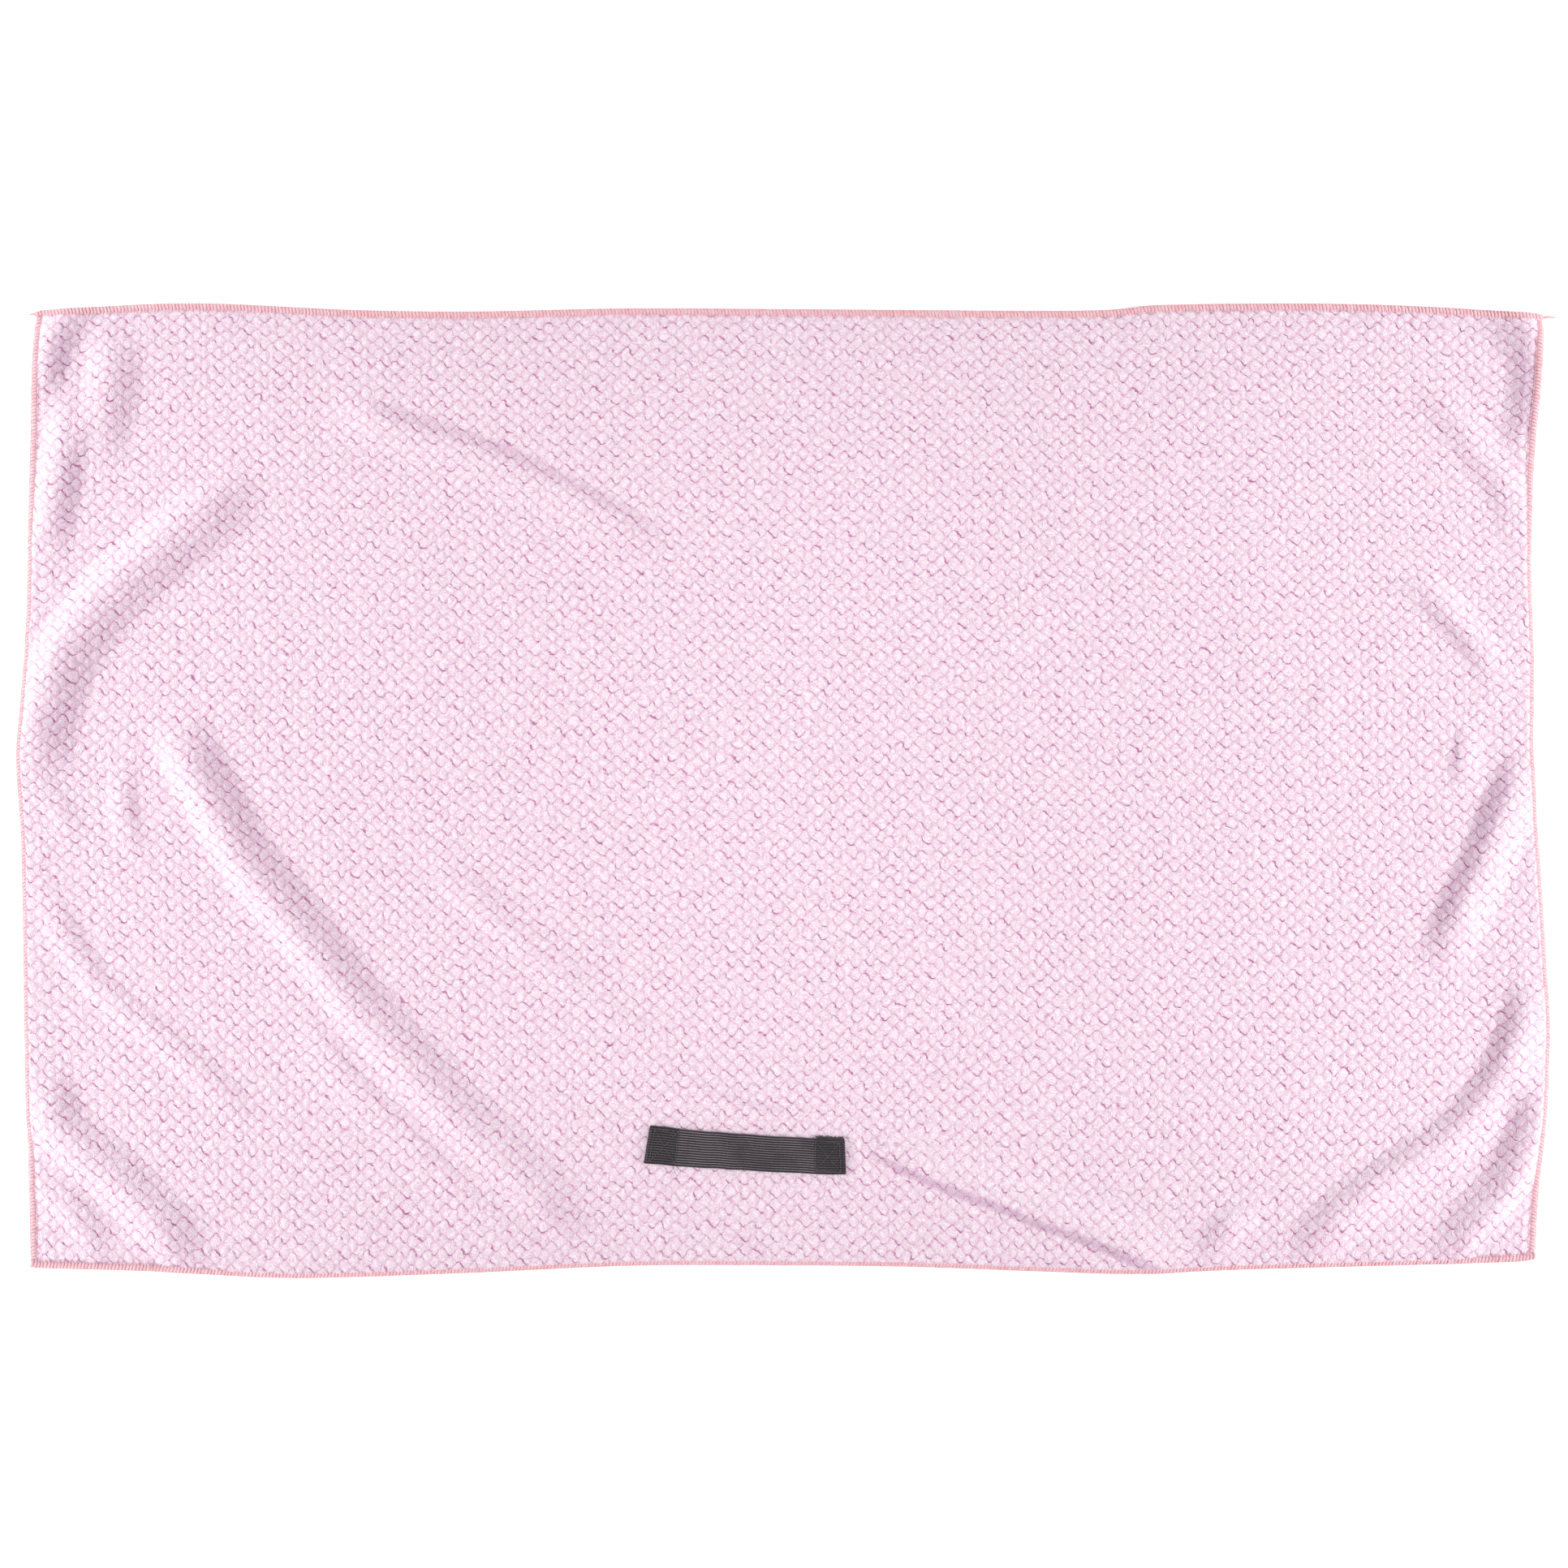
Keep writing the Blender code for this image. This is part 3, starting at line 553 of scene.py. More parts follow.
def fleece_finish():
    """Lumps of pile between scalloped grooves, from each point's place in the knit's pattern of lumps."""
    f = Finish("pink_fleece")
    place = f.attribute("knit_place", "Vector")
    wide = f.vector("SUBTRACT", f.noise(place, 2.3, 1.0, "Color"), (0.5, 0.5, 0.5))
    narrow = f.vector("SUBTRACT", f.noise(place, 8.0, 2.0, "Color"), (0.5, 0.5, 0.5))
    fuzzy = f.vector("ADD", place, f.vector("MULTIPLY", wide, (0.30, 0.26, 0.0)))
    fuzzy = f.vector("ADD", fuzzy, f.vector("MULTIPLY", narrow, (0.16, 0.13, 0.0)))
    split = f.nodes.new("ShaderNodeSeparateXYZ")
    f.put(fuzzy, split.inputs[0])
    turn = f.math("MULTIPLY", split.outputs[0], math.tau)
    bow, flank = f.math("COSINE", turn), f.math("SINE", turn)
    scallop = f.math("MULTIPLY_ADD", bow, SCALLOP_RISE, SCALLOP_RISE)
    steep = f.math("MULTIPLY", flank, math.tau * SCALLOP_RISE * LUMP_WIDTH / LUMP_LENGTH)
    steep = f.math("SQRT", f.math("MULTIPLY_ADD", steep, steep, 1.0))
    away = []
    for operation in ("SUBTRACT", "ADD"):
        row = f.math(operation, split.outputs[1], scallop)
        row = f.math("ABSOLUTE", f.math("SUBTRACT", row, f.math("ROUND", row)))
        away.append(f.math("DIVIDE", row, steep))
    upper, lower = away

    patchy = f.span(f.noise(place, 0.8, 2.0), 0.36, 0.64, 0.45, 1.15)
    broken = f.span(f.noise(place, 3.4, 1.0), 0.36, 0.62, 0.15, 1.10)
    # Painted shade and light of the ridges' sides: on shaded sides the grooves and fibres are stronger and the
    # pile darker and more violet; the others are lighter.
    painted_slope_shading = f.attribute("painted_slope_shading", "Fac")
    strength = f.math("MULTIPLY", f.math("MULTIPLY", patchy, broken), f.span(painted_slope_shading, -1.0, 1.0, 0.6, 1.5))
    # The grooves' lines are painted shade, heavier on the falling flank of each scallop.
    falling = f.math("MULTIPLY_ADD", flank, 0.42, 0.95)
    near_upper = f.span(upper, 0.010, 0.070, 1.0, 0.0)
    near_lower = f.span(lower, 0.010, 0.060, 1.0, 0.0)
    upper_line = f.math("MULTIPLY", f.math("MULTIPLY", falling, strength), near_upper)
    lower_line = f.math("MULTIPLY", f.math("MULTIPLY", strength, 0.40), near_lower)
    line = f.math("MAXIMUM", upper_line, lower_line)
    # More painted shade where a scallop dips lowest.
    dip = f.math("MULTIPLY", f.span(bow, -0.55, -1.0), f.span(upper, 0.01, 0.07, 1.0, 0.0))
    dip = f.math("MULTIPLY", dip, f.span(f.noise(place, 1.7, 0.0), 0.45, 0.65, 0.0, 1.0))

    swirled = f.vector("ADD", place, f.vector("MULTIPLY", wide, (0.7, 0.7, 0.0)))
    streaks = f.noise(f.grain(swirled, PILE_LEAN, 0.30, 0.090), 1.0, 2.0)
    fibres = f.noise(f.grain(swirled, PILE_LEAN, 0.13, 0.055), 1.0, 1.0)
    # Painted shading of each lump: lighter in its middle, darker towards its grooves.
    lit_crown = f.span(f.math("MINIMUM", upper, lower), 0.02, 0.24, 0.50, 0.90)
    lit = f.math("ADD", lit_crown, f.span(streaks, 0.30, 0.70, -0.45, 0.45))
    seen = f.math("MULTIPLY", f.span(fibres, 0.30, 0.70, -0.60, 0.60), f.span(painted_slope_shading, 0.0, 1.0, 1.0, 1.8))
    lit = f.math("ADD", lit, seen)
    lit = f.math("ADD", lit, f.span(painted_slope_shading, -1.0, 1.0, 0.06, -0.16))
    pile = f.mix(lit, LUMP_SIDE, LUMP_TOP)
    pile = f.mix(f.span(painted_slope_shading, 0.1, 1.0, 0.0, 0.28), pile, SLOPE_SHADE_PILE)
    # Partings in the pile and the grooves' lines take the painted groove shade.
    parting = f.span(f.math("ABSOLUTE", f.math("SUBTRACT", streaks, 0.5)), 0.0, 0.035, 1.0, 0.0)
    parting = f.math("MULTIPLY", parting, f.span(f.noise(place, 2.9, 0.0), 0.42, 0.60, 0.0, 0.55))
    colour = f.mix(f.math("MAXIMUM", parting, f.math("MINIMUM", line, 0.95)), pile, GROOVE_SHADE)
    colour = f.mix(f.math("MULTIPLY", dip, 0.8), colour, DEEP_GROOVE_SHADE)
    f.surface(colour, 0.95, sheen=0.18, sheen_roughness=0.6, specular=0.05)
    f.shader.inputs["Sheen Tint"].default_value = (1.0, 0.80, 0.92, 1.0)

    height = f.math("ADD", f.math("MULTIPLY", streaks, 0.6), f.math("MULTIPLY", fibres, 0.5))
    f.bump(f.math("SUBTRACT", height, f.math("MULTIPLY", line, 0.5)), 0.7, 0.0010)
    return f.material


def fibre_finish():
    f = Finish("pink_pile_fibre")
    coordinates = f.nodes.new("ShaderNodeTexCoord").outputs["Object"]
    colour = f.mix(f.noise(coordinates, 400.0, 1.0), LUMP_SIDE, LUMP_TOP)
    f.surface(colour, 0.9, sheen=0.3, specular=0.1)
    return f.material


def overlock_finish():
    """Fluffy salmon thread, with painted shade where it lies deep in the seam."""
    f = Finish("salmon_overlock_thread")
    coordinates = f.nodes.new("ShaderNodeTexCoord").outputs["Object"]
    depth = f.attribute("raised", "Fac")
    mottle = f.noise(coordinates, 260.0, 3.0)
    fluff = f.noise(coordinates, 1500.0, 2.0)
    thread = f.mix(f.span(mottle, 0.3, 0.7), SEAM_THREAD, SEAM_THREAD_PALE)
    colour = f.mix(depth, SEAM_DEEP, thread)
    f.surface(colour, 0.75, sheen=0.3, specular=0.25)
    f.bump(fluff, 0.5, 0.0003)
    return f.material


def elastic_finish():
    """Ribbed black elastic: greyer on the ribs with painted sheen, lighter in worn patches, with the fine dots
    of its weave.
    """
    f = Finish("black_elastic")
    across = f.attribute("across", "Fac")
    along = f.attribute("along", "Fac")
    rib = f.math("COSINE", f.math("MULTIPLY", across, math.tau * RIBS))
    # Painted sheen on the ribs' tops, over the black of the grooves.
    lit_crown = f.span(rib, -0.2, 0.9)
    place = f.nodes.new("ShaderNodeCombineXYZ")
    f.put(along, place.inputs[0])
    f.put(f.math("MULTIPLY", across, STRAP_WIDTH), place.inputs[1])
    dots = f.math("SINE", f.math("MULTIPLY", along, math.tau / WEAVE_PITCH))
    wear = f.noise(place.outputs[0], 900.0, 3.0)
    patch = f.noise(place.outputs[0], 32.0, 2.0)
    free_end = STRAP_LENGTH / 2 - HEM_LENGTH
    hem = f.span(f.math("ABSOLUTE", along), free_end, free_end + HEM_SHADE_FADE, 1.0, HEM_SHADE)
    worn = f.math("MULTIPLY", f.span(wear, 0.3, 0.7, 0.35, 1.0), f.span(patch, 0.35, 0.65, 0.6, 1.7))
    rib_sheen = f.mix(worn, ELASTIC_RIB_SHEEN, ELASTIC_RIB_WORN_SHEEN)
    colour = f.mix(f.math("MULTIPLY", lit_crown, hem), ELASTIC_GROOVE, rib_sheen)
    f.surface(colour, 0.62, sheen=0.03, specular=0.25)
    height = f.math("ADD", f.math("MULTIPLY", dots, 0.25), wear)
    f.bump(height, 0.5, 0.0002)
    return f.material


def thread_finish():
    f = Finish("black_thread")
    coordinates = f.nodes.new("ShaderNodeTexCoord").outputs["Object"]
    twist = f.noise(coordinates, 2200.0, 2.0)
    f.surface(f.mix(f.span(twist, 0.3, 0.7), SEWING_BLACK, SEWING_GREY), 0.55, specular=0.3)
    f.bump(twist, 0.4, 0.0001)
    return f.material


def floor_finish():
    f = Finish("pale_floor")
    f.surface(FLOOR_COLOUR, 0.9, specular=0.1)
    f.shader.inputs["Emission Color"].default_value = (1.0, 1.0, 1.0, 1.0)
    f.shader.inputs["Emission Strength"].default_value = FLOOR_GLOW
    return f.material


# ---- Cloth ------------------------------------------------------------------------------------------------


def knit_place(u, v):
    """Where flat cloth coordinates fall in the knit's pattern of lumps, counted in lumps and in rows."""
    skew = KNIT_SKEW * np.maximum(v + KNIT_SKEW_FROM, 0) ** 2 / KNIT_SKEW_OVER / 2
    p = (u - skew * 1.6) / LUMP_LENGTH
    p = p + 0.30 * unevenness(u, v, 0.120, 11) + 0.13 * unevenness(u, v, 0.0085, 12)
    q = v / LUMP_WIDTH * (1 + KNIT_SPREAD * v / HALF_WIDTH)
    q = q + 0.30 * unevenness(u, v, 0.150, 13) + 0.11 * unevenness(u, v, 0.0085, 14)
    return p, q


def lump_height(p, q):
    """Height of the pile above its grooves, from 0 to 1, and how much of a groove's line there is."""
    scallop = SCALLOP_RISE * (1 + np.cos(math.tau * p))
    steep = math.tau * SCALLOP_RISE * LUMP_WIDTH / LUMP_LENGTH * np.sin(math.tau * p)
    upper, lower = q - scallop, q + scallop
    upper, lower = (np.abs(row - np.round(row)) / np.sqrt(1 + steep**2) for row in (upper, lower))
    line = np.maximum(np.exp(-((upper / 0.07) ** 2)), 0.5 * np.exp(-((lower / 0.07) ** 2)))
    return np.clip(np.minimum(upper, lower) / 0.30, 0, 1) ** 0.6, line


def build_cloth(finish):
    columns = round(TOWEL_LENGTH / GRID_STEP) + 1
    rows = round(TOWEL_WIDTH / GRID_STEP) + 1
    s, t = np.meshgrid(np.linspace(0, 1, columns), np.linspace(0, 1, rows))
    x, y = outline_place(s, t, CLOTH_INSET)
    u, v = (s - 0.5) * TOWEL_LENGTH, (t - 0.5) * TOWEL_WIDTH
    low = lie(x, y)
    reaches = (EDGE_PINCH, SHORT_PINCH, SHORT_PINCH, EDGE_PINCH)
    pinch = smooth_step((HALF_WIDTH - v) / EDGE_PINCH)
    pinch = np.minimum(pinch, smooth_step((HALF_WIDTH + v) / np.interp(u, NEAR_SEAM_COVERED, reaches)))
    sides = (HALF_LENGTH - np.abs(u)) / np.interp(v, SIDE_SEAMS_COVERED, reaches)
    pinch = np.minimum(pinch, smooth_step(sides))
    pinch = np.minimum(pinch, 1 - 0.25 * strap_hold(x, y))
    body = EDGE_THICKNESS + (CLOTH_THICKNESS - EDGE_THICKNESS) * pinch

    faces = []
    places = []
    for side, offset in ((1, 0.0), (-1, UNDERSIDE_SHIFT)):
        p, q = knit_place(u, v)
        rise, line = lump_height(p, q)
        plump = 0.8 + 0.35 * unevenness(u + offset, v, 0.009, 15)
        relief = (LUMP_HEIGHT * (rise * plump - 1) - GROOVE_DEPTH * line) * (0.25 + 0.75 * pinch)
        middle = low + CLOTH_THICKNESS / 2 - (1 - pinch) * (CLOTH_THICKNESS - SEAM_HEIGHT) / 2
        z = middle + side * (body / 2 + relief)
        faces.append(np.stack([x, y, z], axis=-1).reshape(-1, 3))
        places.append(np.stack([p, q, np.full_like(p, offset)], axis=-1).reshape(-1, 3))

    # Painted shade and light by slope and facing. It is stored on the cloth, so it doesn't follow the lights.
    # Ridge sides facing the middle, and in the near half those facing the near edge, are painted darker; the
    # others lighter.
    inward = np.gradient(low, axis=1) / np.gradient(x, axis=1) * np.clip(x / SLOPE_SHADING_REACH, -1, 1)
    nearward = np.gradient(low, axis=0) / np.gradient(y, axis=0) * np.clip(-y / HALF_WIDTH, 0, 1)
    painted_slope_shading = np.clip((inward + nearward) / STEEP_SIDE, -1, 1)
    top = grid_quads(rows, columns)
    count = rows * columns
    index = np.arange(count).reshape(rows, columns)
    border = np.concatenate([index[0, :-1], index[:-1, -1], index[-1, :0:-1], index[:0:-1, 0]])
    after = np.roll(border, -1)
    rim = np.stack([border, border + count, after + count, after], axis=-1)
    quads = np.vstack([top, top[:, ::-1] + count, rim])
    cloth = quad_object("towel_cloth", np.vstack(faces), quads, finish)
    attribute = cloth.data.attributes.new("knit_place", "FLOAT_VECTOR", "POINT")
    attribute.data.foreach_set("vector", np.vstack(places).astype(np.float32).ravel())
    point_value(cloth, "painted_slope_shading", np.concatenate([painted_slope_shading.ravel(), painted_slope_shading.ravel()]))
    add_flat_map(cloth, np.concatenate([s.ravel(), s.ravel()]), np.concatenate([t.ravel(), t.ravel()]), count)
    return cloth


def add_flat_map(cloth, s, t, count):
    """The flat cloth's two faces side by side, so that its finish can be baked without distortion."""
    u = BAKE_MARGIN[0] + s * TOWEL_LENGTH * BAKE_SCALE
    v = BAKE_MARGIN[1] + t * TOWEL_WIDTH * BAKE_SCALE
    v[count:] += 0.5
    layer = cloth.data.uv_layers.new(name="OFBake")
    corner = np.empty(len(cloth.data.loops), np.int32)
    cloth.data.loops.foreach_get("vertex_index", corner)
    layer.data.foreach_set("uv", np.stack([u[corner], v[corner]], axis=-1).astype(np.float32).ravel())


# ---- Overlocked edges -------------------------------------------------------------------------------------


def edge_line(which, step):
    """Points along the middle of one edge's seam, a step apart, and the outward direction at each."""
    share = np.linspace(0, 1, EDGE_POINTS)
    low, high = np.zeros(EDGE_POINTS), np.ones(EDGE_POINTS)
    s, t = {"near": (share, low), "far": (share, high), "left": (low, share), "right": (high, share)}[which]
    x, y = outline_place(s, t, SEAM_WIDTH / 2)
    travelled = np.concatenate([[0], np.cumsum(np.hypot(np.diff(x), np.diff(y)))])
    trim = SEAM_WIDTH / 2 + CORNER_GAP if which in ("left", "right") else -SEAM_WIDTH / 2
    at = np.arange(trim, travelled[-1] - trim, step)
    px = np.interp(at, travelled, x)
    py = np.interp(at, travelled, y)
    past_ends = ((0, 1, at < 0, -at), (-1, -2, at > travelled[-1], at - travelled[-1]))
    for end, inner, beyond, amount in past_ends:
        run = np.array([x[end] - x[inner], y[end] - y[inner]])
        run /= np.linalg.norm(run)
        px[beyond] = x[end] + run[0] * amount[beyond]
        py[beyond] = y[end] + run[1] * amount[beyond]
    tangent = np.stack([np.gradient(px), np.gradient(py), np.zeros_like(px)], axis=-1)
    tangent /= np.linalg.norm(tangent, axis=1, keepdims=True)
    turn = 1 if which in ("near", "right") else -1
    outward = np.stack([tangent[:, 1], -tangent[:, 0], np.zeros_like(px)], axis=-1) * turn
    return np.stack([px, py, lie(px, py) + SEAM_HEIGHT / 2], axis=-1), tangent, outward


def build_overlock(which, finish):
    """One edge's seam: the looper thread wound over the edge, its loops, the needle's stitches and core."""
    rng = np.random.default_rng(OVERLOCK_SEEDS[which])
    per_turn = STITCH_PITCH / RIB_POINTS
    line, tangent, outward = edge_line(which, per_turn)
    up = np.array([0.0, 0.0, 1.0])
    count = len(line)
    turns = np.arange(count) / RIB_POINTS
    wanders = rng.uniform(-1, 1, math.ceil(turns[-1]) + 1)
    wobble = np.interp(turns, np.arange(len(wanders)), wanders)
    angle = math.tau * turns
    reach = SEAM_WIDTH / 2 - RIB_HALF_DEPTH
    rise = SEAM_HEIGHT / 2 - RIB_HALF_DEPTH * 0.6
    slant = 0.22 * STITCH_PITCH * np.sin(angle)
    wound = (
        line
        + outward * (reach * np.cos(angle) * (1 + 0.06 * wobble))[:, None]
        + up * (rise * np.sin(angle) * (1 + 0.08 * wobble))[:, None]
        + tangent * (slant + 0.00012 * wobble)[:, None]
    )
    ribs = tubes(wound[None], tangent[None], RIB_HALF_WIDTH * (1 + 0.10 * wobble), RIB_HALF_DEPTH, RIB_SIDES)

    core_line = line[:: RIB_POINTS // 2]
    core = tubes(core_line[None], outward[None, :: RIB_POINTS // 2], reach * 0.98, rise * 0.95, 8)

    starts = np.arange(RIB_POINTS, count - 2 * RIB_POINTS, RIB_POINTS)
    steps = np.linspace(0, 1, 6)
    picks = (starts[:, None] + steps * RIB_POINTS * 1.05).astype(int)
    sway = 0.00035 * np.sin(steps * math.tau)
    loops = line[picks] + outward[picks] * (SEAM_WIDTH / 2 - 0.0001) + up * sway[:, None]
    bulge = 0.00042 + 0.00022 * np.sin(steps * math.pi)
    purl = tubes(loops, outward[picks], bulge, bulge, 6)

    picks = (starts[:, None] + (0.1 + 0.8 * steps) * RIB_POINTS).astype(int)
    arch = 0.00020 * np.sin(steps * math.pi)
    needle = line[picks] - outward[picks] * (SEAM_WIDTH / 2 - 0.0003) + up * (rise * 0.8 + arch)[:, None]
    thin = 0.00016 + 0.00016 * np.sin(steps * math.pi)
    stitches = tubes(needle, outward[picks], thin, thin, 6)

    verts, quads = join([ribs, core, purl, stitches])
    seam = quad_object(f"overlock_{which}", verts, quads, finish)
    # The core, deep between the wound threads, gets the painted shade.
    raised = np.ones(len(verts))
    raised[len(ribs[0]) : len(ribs[0]) + len(core[0])] = 0.0
    point_value(seam, "raised", raised)
    return seam


def build_thread_tail(name, corner, direction, length, seed, finish):
    """The chain of thread that runs on past a corner: three strands twisted together, thinning to a wisp."""
    rng = np.random.default_rng(seed)
    steps = 40
    share = np.linspace(0, 1, steps)
    axis = np.array(corner)[None] + np.array(direction)[None] * (share * length)[:, None]
    sway = 0.0012 * np.sin(share * 3.0) * rng.uniform(0.6, 1)
    bend = np.stack([np.zeros(steps), sway, -0.0008 * share], axis=-1)
    parts = []
    for strand in range(TAIL_STRANDS):
        phase = math.tau * strand / TAIL_STRANDS
        turn = share * length / 0.0032 * math.tau + phase
        radius = 0.0007 * (1 - 0.75 * share)
        twist = np.stack([np.zeros(steps), np.cos(turn) * radius, np.sin(turn) * radius], axis=-1)
        width = 0.00052 * (1 - 0.65 * share)
        parts.append(tubes((axis + bend + twist)[None], (0.0, 0.3, 1.0), width, width, 6))
    verts, quads = join(parts)
    tail = quad_object(name, verts, quads, finish)
    # The strands grow darker towards the tail's tip.
    point_value(tail, "raised", np.concatenate([1 - 0.6 * np.repeat(share, 6)] * TAIL_STRANDS))
    return tail


# ---- Pile along the edges ---------------------------------------------------------------------------------


def build_fringe(which, finish):
    """Fibres of pile that stand out past the seam."""
    rng = np.random.default_rng(FRINGE_SEEDS[which])
    lush = FRINGE_SHARES[which]
    line, tangent, outward = edge_line(which, 1 / (FIBRES_PER_METRE * lush))
    count = len(line)
    steps = np.linspace(0, 1, 4)
    length = rng.uniform(0.0022, 0.0048, count) * (0.8 + 0.2 * lush)
    lean = rng.normal(0, 0.5, count)
    climb = rng.uniform(0.1, 0.9, count)
    root = line + outward * rng.uniform(-0.0052, -0.0018, count)[:, None]
    root[:, 2] += rng.uniform(0.2, 1.0, count) * SEAM_HEIGHT / 2
    heading = outward + tangent * lean[:, None] + np.array([0, 0, 1.0]) * climb[:, None]
    droop = np.array([0, 0, -1.0]) * (climb * 1.15)[:, None]
    away = heading[:, None] * steps[:, None] + droop[:, None] * (steps**2)[:, None]
    paths = root[:, None] + away * length[:, None, None]
    width = FIBRE_WIDTH * (1 - 0.7 * steps)
    verts, quads = tubes(paths, (0.0, 0.0, 1.0), width, width * 0.6, 4)
    return quad_object(f"pile_fringe_{which}", verts, quads, finish)


# ---- Strap ------------------------------------------------------------------------------------------------


def to_world(points):
    """Points given along, across and above the strap, as points of the towel."""
    points = np.asarray(points, float)
    cos, sin = math.cos(STRAP_TILT), math.sin(STRAP_TILT)
    along = points[..., 0] * (1 - STRAP_FLARE * points[..., 1] / STRAP_WIDTH)
    x = STRAP_CENTRE[0] + along * cos - points[..., 1] * sin
    y = STRAP_CENTRE[1] + along * sin + points[..., 1] * cos
    return np.stack([x, y, points[..., 2]], axis=-1)


def strap_half_width(along):
    """Half the elastic's width: it is pulled narrower towards its right end."""
    return STRAP_WIDTH / 2 * np.interp(along / STRAP_LENGTH, [-0.5, -0.1, 0.5], STRAP_WIDTH_SHARES)


def strap_bow(along):
    """The elastic lies in a slight curve, its middle a little towards the near side."""
    return -STRAP_BOW * (1 - (2 * along / STRAP_LENGTH) ** 2)


def elastic_profile():
    """Half of the strap's side view, from the middle out to the turned end and back under it."""
    bend = (2 * ELASTIC_THICKNESS + HEM_PLY_GAP) / 4 + HEM_PLY_GAP / 4
    end = STRAP_LENGTH / 2
    top = STRAP_TOP_Z - ELASTIC_THICKNESS / 2
    bottom = LOWER_PLY_Z + ELASTIC_THICKNESS / 2
    middle = (top + bottom) / 2
    flat = np.linspace(0, end - bend * 2, 60)
    angles = np.linspace(math.pi / 2, -math.pi / 2, 9)
    turned = np.linspace(end - bend * 2, end - HEM_LENGTH, 14)
    run = [(a, top) for a in flat]
    run += [(end - 2 * bend + 1.2 * bend * math.cos(a), middle + bend * math.sin(a)) for a in angles[1:-1]]
    run += [(a, bottom) for a in turned]
    return np.array(run)


def build_elastic(side, word, finish):
    """Half of the elastic, on one side of its middle: ribbed along its length, with its end turned under."""
    profile = elastic_profile()
    along = profile[:, 0]
    lengths = np.concatenate([[0], np.cumsum(np.linalg.norm(np.diff(profile, axis=0), axis=1))])
    direction = np.gradient(profile, axis=0)
    direction /= np.linalg.norm(direction, axis=1, keepdims=True)
    normal = np.stack([-direction[:, 1], direction[:, 0]], axis=-1)

    per_rib = 8
    across = np.linspace(0, 1, RIBS * per_rib + 1)
    relief = RIB_RELIEF * 0.5 * (np.cos(across * math.tau * RIBS) - 1)
    edge = np.minimum(across, 1 - across) * STRAP_WIDTH
    half = ELASTIC_THICKNESS / 2 * np.sqrt(np.clip(edge / 0.0007, 0.12, 1))
    outer = np.concatenate([across, across[::-1]])
    lift = np.concatenate([half + relief, -(half + relief)[::-1]])
    wave = 0.00025 * unevenness(side * along * 3, along * 0, 0.03, 41)
    width = strap_half_width(side * along)
    y = (outer[None] * 2 - 1) * width[:, None] + strap_bow(along)[:, None] + wave[:, None]
    x = along[:, None] + normal[:, :1] * lift[None]
    z = profile[:, 1:] + normal[:, 1:] * lift[None]
    verts = to_world(np.stack([side * x, y, z], axis=-1))
    rings, around = verts.shape[:2]
    index = np.arange(rings * around).reshape(rings, around)
    after = np.roll(index, -1, axis=1)
    walls = np.stack([index[:-1], after[:-1], after[1:], index[1:]], axis=-1).reshape(-1, 4)
    strip = np.arange(around // 2 - 1)
    cap = np.stack([strip, strip + 1, around - 2 - strip, around - 1 - strip], axis=-1)
    quads = np.vstack([walls, cap[:, ::-1], index[-1][cap]])
    if side > 0:
        quads = quads[:, ::-1]
    band = quad_object(f"elastic_{word}", verts.reshape(-1, 3), quads, finish)
    band.data.set_sharp_from_angle(angle=math.radians(60))
    point_value(band, "across", np.broadcast_to(outer, (rings, around)))
    point_value(band, "along", np.broadcast_to(side * lengths[:, None], (rings, around)))
    return band


def stitch_run(start, end, z, rng):
    """A row of stitches from one point to another on the strap, as paths."""
    start, end = np.array(start, float), np.array(end, float)
    length = np.linalg.norm(end - start)
    count = max(2, round(length / SEWING_STITCH))
    steps = np.linspace(0, 1, 6)
    runs = []
    for i in range(count):
        share = (i + 0.08 + 0.84 * steps) / count
        xy = start + (end - start) * share[:, None] + rng.normal(0, 0.00010, 2)
        height = z + 0.00022 * np.sin(steps * math.pi) - 0.0002
        runs.append(np.column_stack([xy, height]))
    return runs


def build_box_stitch(side, word, z, name, finish):
    rng = np.random.default_rng(51 + side)
    low = STRAP_LENGTH / 2 - HEM_LENGTH + STITCH_BOX_FROM_BAND
    high = STRAP_LENGTH / 2 - STITCH_BOX_FROM_END
    bow = float(strap_bow(np.array((low + high) / 2)))
    deep = float(strap_half_width(np.array(side * high))) - STITCH_BOX_MARGIN
    a, b = side * low, side * high
    corners = [(a, bow - deep), (b, bow - deep), (b, bow + deep), (a, bow + deep)]
    runs = []
    for start, end in zip(corners, corners[1:] + corners[:1]):
        runs += stitch_run(start, end, z, rng)
    runs += stitch_run(corners[0], corners[2], z, rng)
    runs += stitch_run(corners[1], corners[3], z, rng)
    if side < 0:
        runs += stitch_run((b - RETURN_ROW, bow - deep), (b - RETURN_ROW, bow + deep), z, rng)
    paths = to_world(np.array(runs))
    width = SEWING_THREAD / 2
    verts, quads = tubes(paths, (0.0, 0.0, 1.0), width, width, 6)
    return quad_object(f"{name}_{word}", verts, quads, finish)


